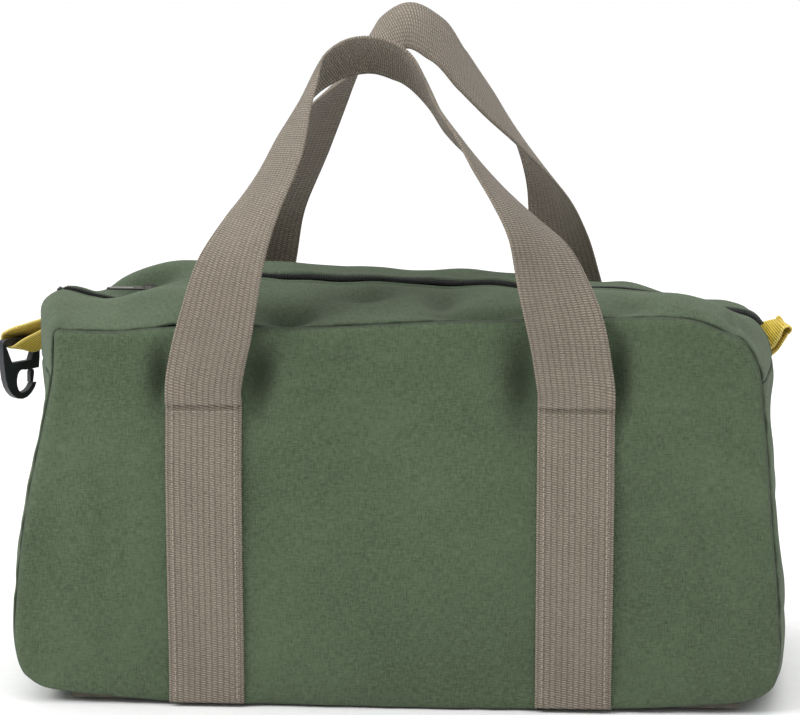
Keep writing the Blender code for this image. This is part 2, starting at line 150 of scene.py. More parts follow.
BASE_COLUMNS = [
    (172.5, 6.4, 1.0, 0.4, 0.5, 1.3), (150, 3.9, 0.5, 0.2, 0.3, 0.5), (60, 0.5, 0.2, 0.2, 0.2, 0.4),
    (-60, 0.7, 0.2, 0.2, 0.2, 0.4), (-116, 1.2, 0.6, 0.2, 0.2, 0.4), (-150, 3.6, 2.2, 0.8, 0.3, 0.6),
    (-172.5, 5.8, 3.8, 1.6, 0.8, 1.4),
]
LEFT_END = [
    ((-184.0, 8.2), (-185.5, 5.4), (-186, 3.2), (-184.5, 3.4), (-181, 4)),
    ((-192.4, 14.6), (-194, 12.6), (-194.8, 11), (-192, 10.6), (-187.5, 10.5)),
    ((-196.8, 28), (-198.2, 28), (-198.6, 27), (-196, 26), (-190.5, 22)),
    ((-195.6, 52), (-197.6, 52), (-198.8, 52), (-197, 50), (-191.5, 44)),
    ((-193.6, 73), (-196.4, 74), (-198.4, 75), (-196.4, 75), (-190.5, 72)),
    ((-188.9, 104), (-192.8, 104), (-197.0, 104), (-194, 104), (-187, 102)),
    ((-183.0, 131), (-187.0, 132), (-194.6, 132), (-191.8, 132), (-183.4, 130)),
    ((-178.8, 150), (-185.6, 150), (-193.8, 150), (-190.2, 150), (-180.2, 149)),
    ((-175.6, 166), (-185.4, 166), (-194.0, 166), (-188.6, 165.6), (-177.8, 163)),
]
LEFT_CORNER = [
    ((-174.6, 181.5), (-185.8, 182), (-194.0, 182), (-186.6, 177.0), (-175.2, 174)),
    ((-174.2, 188.2), (-184.6, 193.0), (-192.0, 193.6), (-183.0, 186.0), (-172.4, 181)),
    ((-172.4, 189.9), (-180.0, 197.6), (-184.0, 198.8), (-176.5, 191.6), (-168.8, 184)),
]
COLUMN_GROUPS = (
    ("top", TOP_COLUMNS), ("right_corner", RIGHT_CORNER), ("right_end", RIGHT_END),
    ("base", BASE_COLUMNS), ("left_end", LEFT_END), ("left_corner", LEFT_CORNER),
)
ROWS_ACROSS = (-1.0, -0.5, 0.0, 0.5, 1.0)

# Names by side. Each half of the zip also stands for the sewn pieces of one end.
WORDS = {-1: "front", 1: "back"}
ENDS = {-1: "left", 1: "right"}


# ---------------------------------------------------------------- numbers and curves

def ease(t):
    t = np.clip(t, 0.0, 1.0)
    return t * t * (3.0 - 2.0 * t)


def rounded(t):
    """Rises from 0 to 1 like a quarter of a circle, steep at first."""
    return np.sqrt(1.0 - (1.0 - np.clip(t, 0.0, 1.0)) ** 2)


def unit(vectors):
    return vectors / np.linalg.norm(vectors, axis=-1, keepdims=True)


def direction_along(line):
    """Unit direction of a line at each of its points."""
    return unit(np.gradient(line, axis=0))


def square_to(along, vectors):
    """The unit directions nearest to vectors that are square to along."""
    return unit(vectors - along * (vectors * along).sum(1, keepdims=True))


def hermite(knots, values, at):
    """Values of a smooth curve through values at knots, for each number in at."""
    knots = np.asarray(knots, float)
    values = np.asarray(values, float)
    at = np.atleast_1d(np.asarray(at, float))
    widths = np.diff(knots)
    shape = (-1,) + (1,) * (values.ndim - 1)
    slopes = np.diff(values, axis=0) / widths.reshape(shape)
    tangents = np.empty_like(values)
    tangents[0], tangents[-1] = slopes[0], slopes[-1]
    before, after = widths[:-1].reshape(shape), widths[1:].reshape(shape)
    tangents[1:-1] = (slopes[:-1] * after + slopes[1:] * before) / (before + after)
    i = np.clip(np.searchsorted(knots, at, side="right") - 1, 0, len(widths) - 1)
    w = widths[i].reshape(shape)
    t = ((at - knots[i]) / widths[i]).reshape(shape)
    return ((2 * t ** 3 - 3 * t ** 2 + 1) * values[i] + (t ** 3 - 2 * t ** 2 + t) * w * tangents[i]
            + (3 * t ** 2 - 2 * t ** 3) * values[i + 1] + (t ** 3 - t ** 2) * w * tangents[i + 1])


def lengths(points):
    """Distance along a line of points."""
    steps = np.linalg.norm(np.diff(points, axis=0), axis=1)
    return np.concatenate([[0.0], np.cumsum(steps)])


def evenly(points, count):
    """count points at equal distances along a line of points."""
    return at_lengths(points, points, np.linspace(0.0, lengths(points)[-1], count))


def at_lengths(line, values, at):
    """Values given at the points of a line, read at distances along it."""
    along = lengths(line)
    return np.stack([np.interp(at, along, values[:, i]) for i in range(values.shape[1])], axis=1)


def ripple(points, scale, seed=0.0):
    """Smooth noise from about -0.5 to 0.5 at each point, with bumps about scale wide."""
    flat = points.reshape(-1, 3) / scale + seed
    return np.array([noise.noise(Vector(p)) for p in flat]).reshape(points.shape[:-1])


def between(x, low, high, soft=0.012):
    """1 from low to high and 0 outside, with soft ends."""
    return ease((x - low) / soft) * ease((high - x) / soft)


def dent(x, y, centre, width, height):
    """1 at the centre of a smooth oval and 0 far from it."""
    return np.exp(-((x - centre[0]) / width) ** 2 - ((y - centre[1]) / height) ** 2)


def shade_in_dents(x, y, dents):
    """Share of painted shade at each point, from how deep it lies in the given dents: 0 down to 1.5 mm, and 1
    from 7.5 mm.
    """
    found = 0.0
    for centre, width, height, deep in dents:
        found = found + dent(x, y, centre, width, height) * max(0.0, deep - 0.0015) / 0.006
    return np.clip(found, 0.0, 1.0)


def normals_of(grid):
    n = np.cross(np.gradient(grid, axis=1), np.gradient(grid, axis=0))
    return n / np.maximum(np.linalg.norm(n, axis=2, keepdims=True), 1e-12)


def normals_out(grid):
    """The normals of part of the bag's surface, turned away from its middle."""
    out = normals_of(grid)
    return out if ((grid - BAG_MIDDLE) * out).sum() > 0.0 else -out


# ---------------------------------------------------------------- meshes

def mesh_object(name, points, faces, material, uvs=None, smooth=True):
    mesh = bpy.data.meshes.new(name)
    mesh.from_pydata([tuple(p) for p in points], [], [tuple(f) for f in faces])
    mesh.materials.append(material)
    if uvs is not None:
        layer = mesh.uv_layers.new(name="cloth")
        index = np.empty(len(mesh.loops), np.int32)
        mesh.loops.foreach_get("vertex_index", index)
        layer.data.foreach_set("uv", np.asarray(uvs, np.float32)[index].ravel())
    if smooth:
        mesh.shade_smooth()
    obj = bpy.data.objects.new(name, mesh)
    bpy.context.collection.objects.link(obj)
    return obj


def number_on_points(obj, name, values):
    attribute = obj.data.attributes.new(name, "FLOAT", "POINT")
    attribute.data.foreach_set("value", np.asarray(values, np.float32).ravel())


def grid_faces(rows, columns, start=0, flip=False):
    i, j = np.meshgrid(np.arange(rows - 1), np.arange(columns - 1), indexing="ij")
    a = (start + i * columns + j).ravel()
    quads = np.stack([a, a + 1, a + columns + 1, a + columns], axis=1)
    return quads[:, ::-1] if flip else quads


def rim_of(rows, columns):
    """Indices round the edge of a grid."""
    top = [(0, j) for j in range(columns)]
    right = [(i, columns - 1) for i in range(1, rows)]
    bottom = [(rows - 1, j) for j in range(columns - 2, -1, -1)]
    left = [(i, 0) for i in range(rows - 2, 0, -1)]
    return [i * columns + j for i, j in top + right + bottom + left]


def shell(name, grid, outward, thickness, material, uvs, edge, dent_shade=None):
    """Cloth with an outer face on grid and an inner face one thickness inside it. outward is 1 if the grid's
    normals face out and -1 if they face in. From 0 to 1, edge says how near each point is to a seam, and the
    last argument how deep it lies in a dent; the canvas paints shade by both, along its seams and in its
    dents."""
    rows, columns = grid.shape[:2]
    inner = grid - normals_of(grid) * outward * thickness
    count = rows * columns
    faces = [grid_faces(rows, columns, 0, outward > 0), grid_faces(rows, columns, count, outward < 0)]
    rim = rim_of(rows, columns)
    sides = []
    for a, b in zip(rim, rim[1:] + rim[:1]):
        quad = (a, b, b + count, a + count)
        sides.append(quad if outward > 0 else quad[::-1])
    points = np.concatenate([grid.reshape(-1, 3), inner.reshape(-1, 3)])
    flat = uvs.reshape(-1, 2)
    obj = mesh_object(name, points, np.concatenate(faces + [np.array(sides)]), material,
                      np.concatenate([flat, flat]))
    # masks for the painted shade of the canvas
    number_on_points(obj, "edge", np.concatenate([edge.ravel(), edge.ravel() * 0.0]))
    if dent_shade is not None:
        number_on_points(obj, "dent_shade", np.concatenate([dent_shade.ravel(), dent_shade.ravel() * 0.0]))
    return obj


def tube(line, across, up, wide, high, sides):
    """Points and faces of a thread along line; its section is an ellipse set by across and up. wide may be
    one number or one for each point."""
    angle = np.linspace(0.0, 2 * math.pi, sides, endpoint=False)
    ring = (across[:, None, :] * (np.cos(angle) * np.reshape(wide, (-1, 1)))[:, :, None]
            + up[:, None, :] * (np.sin(angle) * high)[None, :, None])
    points = (line[:, None, :] + ring).reshape(-1, 3)
    faces = []
    for i in range(len(line) - 1):
        for s in range(sides):
            a, b = i * sides + s, i * sides + (s + 1) % sides
            faces.append((a, b, b + sides, a + sides))
    faces.append(tuple(reversed(range(sides))))
    faces.append(tuple(range((len(line) - 1) * sides, len(line) * sides)))
    return points, faces


def joined(name, parts, material):
    """One object from several (points, faces) pairs."""
    points, faces, start = [], [], 0
    for some, its_faces in parts:
        points.extend(some)
        faces.extend(tuple(i + start for i in f) for f in its_faces)
        start += len(some)
    return mesh_object(name, points, faces, material)


def frames_along(line, facing):
    """The direction across a line in a surface that faces facing, and the direction out of that surface."""
    along = direction_along(line)
    facing = square_to(along, facing)
    return np.cross(facing, along), facing


def stitches(line, facing, pitch=0.0030, length=0.0024, radius=0.00035, sink=0.0002):
    """Sewing thread along a line: short rounded stitches whose ends go down into the cloth."""
    total = lengths(line)[-1]
    count = max(1, int(total / pitch))
    parts = []
    for k in range(count):
        middle = (k + 0.5) * total / count
        at = middle + np.array([-0.5, -0.3, 0.0, 0.3, 0.5]) * length
        centre = at_lengths(line, line, at)
        across, up = frames_along(centre, at_lengths(line, facing, at))
        lift = np.array([-0.8, 0.5, 0.9, 0.5, -0.8])[:, None] * radius - sink
        parts.append(tube(centre + up * lift, across, up, radius, radius, 6))
    return parts


# ---------------------------------------------------------------- materials

def linear(red, green, blue):
    """sRGB from 0 to 255 as the linear colour that a shader takes."""
    found = []
    for c in (red, green, blue):
        c /= 255.0
        found.append(c / 12.92 if c <= 0.04045 else ((c + 0.055) / 1.055) ** 2.4)
    return (*found, 1.0)


class Nodes:
    """Short calls for building a material's nodes."""

    def __init__(self, name):
        self.material = bpy.data.materials.new(name)
        self.material.use_nodes = True
        self.tree = self.material.node_tree
        self.shader = self.tree.nodes["Principled BSDF"]

    def add(self, kind, values=(), **settings):
        node = self.tree.nodes.new("ShaderNode" + kind)
        for key, value in settings.items():
            setattr(node, key, value)
        for key, value in dict(values).items():
            if hasattr(value, "is_output"):
                self.tree.links.new(value, node.inputs[key])
            else:
                node.inputs[key].default_value = value
        return node

    def math(self, operation, a, b=0.0, c=0.0):
        return self.add("Math", {0: a, 1: b, 2: c}, operation=operation).outputs[0]

    def mix(self, factor, a, b):
        return self.add("Mix", {0: factor, 6: a, 7: b}, data_type="RGBA").outputs[2]

    def noise(self, vector, scale, detail=2.0, roughness=0.5):
        values = {"Vector": vector, "Scale": scale, "Detail": detail, "Roughness": roughness}
        return self.add("TexNoise", values).outputs[0]

    def stretched(self, vector, scale):
        return self.add("Mapping", {"Vector": vector, "Scale": scale}).outputs[0]

    def level(self, value, low, high, to_low=0.0, to_high=1.0):
        values = {0: value, 1: low, 2: high, 3: to_low, 4: to_high}
        return self.add("MapRange", values).outputs[0]

    def tint(self, shade, colour, value, low, high, share):
        """shade, with up to the given share of colour mixed in as value goes from low to high."""
        return self.mix(self.level(value, low, high, 0.0, share), shade, colour)

    def wave(self, value, period):
        """A sine of value with the given period, from -1 to 1."""
        turns = self.math("MULTIPLY", value, 1.0 / period)
        return self.math("SINE", self.math("MULTIPLY", turns, 2 * math.pi))

    def place(self):
        return self.add("TexCoord").outputs["Object"]

    def bump(self, height, distance, strength=1.0, normal=None):
        values = {"Height": height, "Distance": distance, "Strength": strength}
        if normal is not None:
            values["Normal"] = normal
        return self.add("Bump", values).outputs[0]

    def finish(self, colour, roughness, normal=None, **fixed):
        for key, value in (("Base Color", colour), ("Roughness", roughness), ("Normal", normal)):
            if value is None:
                continue
            if hasattr(value, "is_output"):
                self.tree.links.new(value, self.shader.inputs[key])
            else:
                self.shader.inputs[key].default_value = value
        for key, value in fixed.items():
            self.shader.inputs[key.replace("_", " ")].default_value = value
        return self.material


def cloth_coordinates(nodes):
    uv = nodes.add("UVMap", uv_map="cloth").outputs[0]
    parts = nodes.add("SeparateXYZ", {0: uv})
    return uv, parts.outputs[0], parts.outputs[1]


def canvas_material():
    """Washed canvas: plain weave, short slubs along both yarns, cloudy wear, and painted shade along its
    seams and in its dents.
    """
    n = Nodes("canvas")
    uv, u, v = cloth_coordinates(n)
    weft = n.noise(n.stretched(uv, (240.0, 1500.0, 1.0)), 1.0, 3.0, 0.6)
    warp = n.noise(n.stretched(uv, (1500.0, 240.0, 1.0)), 1.0, 3.0, 0.6)
    yarns = n.math("ADD", weft, warp)
    grain = n.noise(uv, 900.0, 2.0, 0.6)
    cloud = n.noise(uv, 13.0, 5.0, 0.62)
    blotch = n.noise(uv, 55.0, 4.0, 0.6)
    speck = n.noise(uv, 520.0, 3.0, 0.6)
    shade = n.mix(n.level(cloud, 0.32, 0.68), linear(61, 75, 54), linear(83, 98, 75))
    shade = n.tint(shade, linear(62, 76, 55), blotch, 0.35, 0.72, 0.6)
    shade = n.tint(shade, linear(96, 110, 86), speck, 0.5, 0.72, 0.6)
    shade = n.tint(shade, linear(98, 113, 87), yarns, 0.8, 1.25, 0.5)
    shade = n.tint(shade, linear(52, 64, 46), yarns, 1.0, 0.7, 0.40)
    shade = n.tint(shade, linear(108, 121, 98), grain, 0.6, 0.8, 0.45)
    edge = n.add("Attribute", attribute_name="edge").outputs[2]
    dent_shade = n.add("Attribute", attribute_name="dent_shade").outputs[2]
    # painted shade in the dents, darker where they are deeper
    shade = n.mix(n.math("MULTIPLY", dent_shade, 0.6), shade, linear(36, 46, 33))
    # painted shade in the creases along the seams and sewn ends
    shade = n.tint(shade, linear(30, 39, 27), edge, 0.55, 0.95, 0.66)
    weave = n.math("MULTIPLY", n.wave(u, 0.00112), n.wave(v, 0.00104))
    height = n.math("MULTIPLY_ADD", yarns, 1.6, n.math("MULTIPLY", weave, 0.5))
    normal = n.bump(height, 0.00018, 0.9, n.bump(n.noise(uv, 260.0, 3.0, 0.6), 0.0004, 0.4))
    return n.finish(shade, n.level(yarns, 0.7, 1.3, 0.95, 0.85), normal,
                    Sheen_Weight=0.08, Sheen_Roughness=0.6, Specular_IOR_Level=0.2)


def webbing_material(name, light, dark, deep):
    """Flat woven webbing: yarns in lengthwise columns, each crossed by fine slanting ribs."""
    n = Nodes(name)
    uv, u, v = cloth_coordinates(n)
    column = n.math("MULTIPLY", u, 1.0 / RIB)
    which = n.math("FLOOR", column)
    inside = n.math("FRACT", column)
    slant = n.math("MULTIPLY_ADD", inside, 0.25, n.math("MULTIPLY", which, 0.46))
    wander = n.noise(n.stretched(uv, (380.0, 60.0, 1.0)), 1.0, 2.0, 0.5)
    turns = n.math("ADD", n.math("MULTIPLY_ADD", v, 1.0 / 0.00118, slant), n.math("MULTIPLY", wander, 0.5))
    rib = n.math("SINE", n.math("MULTIPLY", turns, 2 * math.pi))
    groove = n.level(n.math("ABSOLUTE", n.math("SUBTRACT", inside, 0.5)), 0.27, 0.5)
    fuzz = n.noise(uv, 1500.0, 3.0, 0.6)
    knot = n.noise(n.stretched(uv, (700.0, 760.0, 1.0)), 1.0, 2.0, 0.5)
    streak = n.noise(n.stretched(uv, (320.0, 14.0, 1.0)), 1.0, 3.0, 0.6)
    cloud = n.noise(uv, 26.0, 3.0, 0.6)
    shade = n.mix(n.level(rib, -0.75, 0.55), dark, light)
    shade = n.mix(n.math("MULTIPLY", groove, 0.62), shade, deep)
    shade = n.tint(shade, deep, knot, 0.52, 0.7, 0.5)
    shade = n.tint(shade, dark, streak, 0.3, 0.7, 0.35)
    shade = n.tint(shade, light, cloud, 0.35, 0.7, 0.22)
    shade = n.tint(shade, light, fuzz, 0.55, 0.8, 0.4)
    height = n.math("MULTIPLY_ADD", groove, -0.6, n.math("MULTIPLY", rib, 0.7))
    normal = n.bump(height, 0.00036, 1.0, n.bump(fuzz, 0.00012, 0.5))
    return n.finish(shade, n.level(rib, -1.0, 1.0, 0.9, 0.72), normal,
                    Sheen_Weight=0.12, Sheen_Roughness=0.5, Specular_IOR_Level=0.3)


def loop_material():
    """Yellow webbing: shiny yarn ribs across its length and a paler woven edge."""
    n = Nodes("yellow_webbing")
    uv, u, v = cloth_coordinates(n)
    rib = n.wave(v, 0.00115)
    yarn = n.wave(u, 0.0009)
    fuzz = n.noise(uv, 1300.0, 3.0, 0.6)
    cloud = n.noise(uv, 90.0, 2.0, 0.5)
    shade = n.mix(n.level(rib, -0.9, 0.8), linear(170, 136, 22), linear(234, 210, 62))
    shade = n.tint(shade, linear(214, 184, 40), cloud, 0.4, 0.7, 0.3)
    shade = n.tint(shade, linear(240, 218, 110), fuzz, 0.58, 0.8, 0.5)
    side = n.level(n.math("ABSOLUTE", u), 0.0072, 0.0078, 0.0, 0.7)
    shade = n.mix(side, shade, linear(238, 214, 120))
    height = n.math("MULTIPLY_ADD", yarn, 0.25, rib)
    return n.finish(shade, 0.62, n.bump(height, 0.00022, 0.9),
                    Sheen_Weight=0.15, Specular_IOR_Level=0.4)


def thread_material(name, colour, pale):
    """Twisted sewing thread."""
    n = Nodes(name)
    place = n.place()
    twist = n.noise(place, 2600.0, 2.0, 0.6)
    run = n.noise(place, 70.0, 2.0, 0.5)
    shade = n.mix(n.level(twist, 0.35, 0.7), colour, pale)
    shade = n.tint(shade, colour, run, 0.4, 0.7, 0.35)
    return n.finish(shade, 0.75, n.bump(twist, 0.0001, 0.7), Sheen_Weight=0.2, Specular_IOR_Level=0.3)


def tape_material():
    """Zip tape: black polyester with a fine herringbone."""
    n = Nodes("zip_tape")
    uv, u, v = cloth_coordinates(n)
    leg = n.math("PINGPONG", u, 0.0015)
    twill = n.wave(n.math("ADD", v, leg), 0.0008)
    fuzz = n.noise(uv, 1800.0, 2.0, 0.6)
    shade = n.mix(n.level(twill, -1.0, 1.0), linear(16, 20, 18), linear(36, 42, 38))
    shade = n.tint(shade, linear(70, 76, 71), fuzz, 0.55, 0.8, 0.4)
    return n.finish(shade, 0.85, n.bump(twill, 0.00015, 0.7), Sheen_Weight=0.2, Specular_IOR_Level=0.3)


def nylon_material():
    """Zip coil: smooth black nylon with dust on it."""
    n = Nodes("zip_coil")
    place = n.place()
    dust = n.noise(place, 500.0, 3.0, 0.6)
    shade = n.mix(n.level(dust, 0.52, 0.8, 0.0, 0.35), linear(13, 16, 15), linear(52, 60, 56))
    return n.finish(shade, n.level(dust, 0.4, 0.7, 0.45, 0.7), n.bump(dust, 0.00006, 0.5),
                    Specular_IOR_Level=0.5)


def metal_material():
    """Black lacquered zinc, thin at its edges, with fine scratches."""
    n = Nodes("slider_metal")
    place = n.place()
    scratch = n.noise(n.stretched(place, (200.0, 1800.0, 1800.0)), 1.0, 4.0, 0.6)
    patch = n.noise(place, 420.0, 3.0, 0.6)
    worn = n.level(n.add("NewGeometry").outputs["Pointiness"], 0.53, 0.60)
    shade = n.mix(n.level(patch, 0.4, 0.7, 0.0, 0.5), linear(22, 23, 24), linear(34, 35, 36))
    shade = n.mix(n.math("MULTIPLY", worn, 0.7), shade, linear(140, 138, 132))
    return n.finish(shade, n.level(scratch, 0.35, 0.7, 0.5, 0.7), n.bump(scratch, 0.00004, 0.4),
                    Metallic=0.1, Specular_IOR_Level=0.12)


def plastic_material():
    """Moulded black acetal with a fine sparked texture and scuffs."""
    n = Nodes("hook_plastic")
    place = n.place()
    spark = n.noise(place, 2400.0, 2.0, 0.6)
    scuff = n.noise(n.stretched(place, (120.0, 120.0, 900.0)), 1.0, 4.0, 0.65)
    shade = n.mix(n.level(scuff, 0.55, 0.75, 0.0, 0.5), linear(37, 39, 44), linear(66, 69, 76))
    return n.finish(shade, n.level(scuff, 0.4, 0.7, 0.34, 0.52), n.bump(spark, 0.00005, 0.5),
                    Specular_IOR_Level=0.5)


def board_material():
    """Grey pressed board with flecks."""
    n = Nodes("board")
    place = n.place()
    fibre = n.noise(n.stretched(place, (160.0, 900.0, 900.0)), 1.0, 4.0, 0.65)
    fleck = n.noise(place, 700.0, 2.0, 0.5)
    shade = n.mix(n.level(fibre, 0.3, 0.7), linear(84, 80, 72), linear(112, 107, 97))
    shade = n.tint(shade, linear(58, 54, 48), fleck, 0.62, 0.72, 0.6)
    return n.finish(shade, 0.88, n.bump(fibre, 0.0003, 0.5), Specular_IOR_Level=0.2)


def floor_material():
    n = Nodes("floor")
    place = n.place()
    paper = n.noise(place, 120.0, 3.0, 0.5)
    shade = n.mix(n.level(paper, 0.3, 0.7), (0.93, 0.93, 0.93, 1.0), (0.96, 0.96, 0.96, 1.0))
    return n.finish(shade, 0.9, n.bump(paper, 0.0002, 0.1), Specular_IOR_Level=0.1)


# ---------------------------------------------------------------- the canvas surfaces

def face_depth(z):
    """Distance of a face of the bag from its middle plane, before the pillow."""
    return FLOOR_HALF_DEPTH - NARROWS * np.asarray(z) / TOP_SEAM_Z


def belt_columns():
    """All columns of the belt, clockwise as seen from the front, as five (x, z) each."""
    top = [tuple((x, z) for z in heights) for x, *heights in TOP_COLUMNS]
    base = [tuple((x, z) for z in heights) for x, *heights in BASE_COLUMNS]
    return np.array(top + RIGHT_CORNER + RIGHT_END + base + LEFT_END + LEFT_CORNER) * MM


class Belt:
    """Surface of the canvas strip round the bag. k runs round it and f across it, from -1 at the front seam
    to 1 at the back seam."""

    def __init__(self):
        columns = belt_columns()
        self.count = len(columns)
        closed = np.concatenate([columns, columns[:1]])
        steps = np.linalg.norm(np.diff(closed, axis=0), axis=2).mean(axis=1)
        self.knots = np.concatenate([[0.0], np.cumsum(steps)])
        self.total = self.knots[-1]
        pad = 8
        self.all_knots = np.concatenate([self.knots[-1 - pad:-1] - self.total, self.knots,
                                         self.knots[1:1 + pad] + self.total])
        self.all_columns = np.concatenate([closed[-1 - pad:-1], closed, closed[1:1 + pad]])

    def at_column(self, group, index):
        """k of a column, by its place in one of the lists of columns."""
        start = 0
        for name, columns in COLUMN_GROUPS:
            if name == group:
                return self.knots[start + index % len(columns)]
            start += len(columns)
        raise ValueError(group)

    def bare(self, ks, fs):
        """Points of the smooth strip before its folds, for every k and f."""
        columns = hermite(self.all_knots, self.all_columns.reshape(len(self.all_columns), -1), ks)
        columns = columns.reshape(len(ks), 5, 2)
        depth = face_depth(columns[:, :, 1])
        ys = depth * np.array(ROWS_ACROSS)[None, :]
        ys[:, 0] += SEAM_INSET
        ys[:, 4] -= SEAM_INSET
        rows = np.stack([columns[:, :, 0], ys, columns[:, :, 1]], axis=2)
        across = hermite(ROWS_ACROSS, rows.transpose(1, 0, 2).reshape(5, -1), fs)
        return across.reshape(len(fs), len(ks), 3).transpose(1, 0, 2)


BELT = Belt()


def belt_grid(ks, fs, folds=True):
    """The strip with the small swell beside its seams, its dents and its wrinkles."""
    grid = BELT.bare(ks, fs)
    out = normals_out(grid)
    depth = np.abs(face_depth(grid[:, :, 2]))
    from_seam = (1.0 - np.abs(np.asarray(fs)))[None, :] * depth
    x, y, z = grid[:, :, 0], grid[:, :, 1], grid[:, :, 2]
    up = ease((z - 0.02) / 0.03)   # the base stays flat
    rise = SWELL * rounded(from_seam / 0.005) * up
    if folds:
        inner = ease(from_seam / 0.012)
        for high, scale, seed in TOP_RIPPLES:
            rise = rise + inner * up * high * ripple(grid, scale, seed)
        high, scale, seed = TOP_PUCKER
        drawn_out = grid * np.array([1.0, 0.25, 1.0])
        rise = rise + up * np.exp(-from_seam / 0.006) * high * ripple(drawn_out, scale, seed)
        top = (z > TOP_STARTS) * 1.0
        for centre, width, height, deep in TOP_DENTS:
            rise = rise - top * deep * dent(x, y, centre, width, height)
        lean = sum(share * between(x, low, high) for low, high, share in ZIP_LEANS)
        rise = rise + top * ZIP_TILT * lean * (y / ZIP_REACH) * np.exp(-(y / ZIP_REACH) ** 2)
        lip = between(x, LIP_FROM, LIP_TO) * np.exp(-((y - LIP_Y) / LIP_WIDTH) ** 2)
        rise = rise + top * FRONT_LIP * lip
    return grid + out * rise[:, :, None], from_seam


class Face:
    """The front (side -1) or back (side 1) of the bag, inside its seam."""

    def __init__(self, side):
        self.side = side
        self.loop = self.seam(np.linspace(0.0, BELT.total, 900, endpoint=False))

    def seam(self, ks):
        """Points of the face's seam at each k."""
        return belt_grid(ks, [float(self.side), self.side * 0.97], folds=False)[0][:, 0, :]

    def edge(self, k0, k1, count):
        """Points of the seam at equal distances, from k0 forward to k1."""
        if k1 < k0:
            k1 += BELT.total
        return evenly(self.seam(np.linspace(k0, k1, 400) % BELT.total), count)

    def away(self, x, z):
        """Distance from points of the face to its seam."""
        flat = np.stack([np.ravel(x), np.ravel(z)], axis=1)
        loop = self.loop[:, [0, 2]]
        found = np.empty(len(flat))
        for start in range(0, len(flat), 4000):
            some = flat[start:start + 4000]
            gaps = np.linalg.norm(some[:, None, :] - loop[None, :, :], axis=2)
            found[start:start + 4000] = gaps.min(axis=1)
        return found.reshape(np.shape(x))

    def y(self, x, z, away=None, fine=True):
        """Where the outer face of the canvas is, at each (x, z). fine adds the puckers beside the seam."""
        x, z = np.asarray(x, float), np.asarray(z, float)
        away = self.away(x, z) if away is None else away
        inset = SEAM_INSET * (1.0 - rounded(away / ROLL))
        out = PILLOW * ease(away / 0.085) - inset
        points = np.stack([x, np.full(np.shape(x), self.side * 0.08), z], axis=-1)
        calm = ease(away / 0.014)
        for high, scale, seed in FACE_RIPPLES:
            out = out + calm * high * ripple(points, scale, seed)
        if fine:
            high, scale, seed = FACE_PUCKER
            near_seam = np.exp(-away / 0.007) * ease(away / 0.0008)
            out = out + near_seam * high * ripple(points, scale, seed)
        for centre, width, height, deep in FACE_DENTS:
            out = out - calm * deep * dent(-self.side * x, z, centre, width, height)
        return self.side * (face_depth(z) + out)


FACES = {"front": Face(-1), "back": Face(1)}


def face_panel(word, material):
    face = FACES[word]
    corner_tr = BELT.at_column("right_corner", 1)
    corner_br = BELT.at_column("right_end", 7)
    corner_bl = BELT.at_column("left_end", 1)
    corner_tl = BELT.at_column("left_corner", 1)
    across, high = 181, 97
    top = face.edge(corner_tl, corner_tr, across)
    right = face.edge(corner_tr, corner_br, high)[::-1]
    bottom = face.edge(corner_br, corner_bl, across)[::-1]
    left = face.edge(corner_bl, corner_tl, high)
    at_u, at_v = fractions(0.0, 1.0, across, 0.45), fractions(0.0, 1.0, high, 0.45)
    pick = [np.stack([np.interp(at, np.linspace(0, 1, len(e)), e[:, i]) for i in range(3)], axis=1)
            for at, e in ((at_u, bottom), (at_u, top), (at_v, left), (at_v, right))]
    grid = coons_at(pick, at_u, at_v)
    away = face.away(grid[:, :, 0], grid[:, :, 2])
    for line in (away[0], away[-1], away[:, 0], away[:, -1]):
        line[:] = 0.0
    grid[:, :, 1] = face.y(grid[:, :, 0], grid[:, :, 2], away)
    seam_y = face.side * (face_depth(grid[:, :, 2]) - SEAM_INSET)
    grid[:, :, 1] = np.where(away <= 1e-9, seam_y, grid[:, :, 1])
    uvs = grid[:, :, [0, 2]] + np.array([0.0, 0.0 if word == "front" else 1.0])
    # the last two arguments paint shade along the seam and in the dents
    obj = shell("canvas_" + word, grid, outward_of(grid, (0, face.side, 0)), CANVAS, material, uvs,
                np.exp(-away / SEAM_SHADE), shade_in_dents(-face.side * grid[:, :, 0], grid[:, :, 2], FACE_DENTS))
    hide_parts(word + "_panel")
    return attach(obj, "bag")


def coons_at(edges, at_u, at_v):
    """Surface between four edges, at the given shares of the way across and up."""
    bottom, top, left, right = edges
    u, v = at_u[None, :, None], at_v[:, None, None]
    grid = (1 - v) * bottom[None] + v * top[None] + (1 - u) * left[:, None] + u * right[:, None]
    corners = ((1 - u) * (1 - v) * bottom[0] + u * (1 - v) * bottom[-1]
               + (1 - u) * v * top[0] + u * v * top[-1])
    return grid - corners


def outward_of(grid, direction):
    """1 if the normal in the middle of the grid goes the way of direction, else -1."""
    n = normals_of(grid)[grid.shape[0] // 2, grid.shape[1] // 2]
    return 1.0 if float(np.dot(n, direction)) > 0.0 else -1.0


def strip_uvs(grid, shift):
    """Flat cloth coordinates of a strip: along it and across it."""
    middle = grid[:, grid.shape[1] // 2]
    u = lengths(middle)[:, None] + np.zeros(grid.shape[:2])
    v = lengths(grid[grid.shape[0] // 2])[None, :] + np.zeros(grid.shape[:2])
    return np.stack([u + shift[0], v + shift[1]], axis=2)


def fractions(low, high, count, bunch=0.5):
    """Numbers from low to high, closer together at both ends."""
    t = np.linspace(0.0, 1.0, count)
    t = (1 - bunch) * t + bunch * (0.5 - 0.5 * np.cos(math.pi * t))
    return low + (high - low) * t


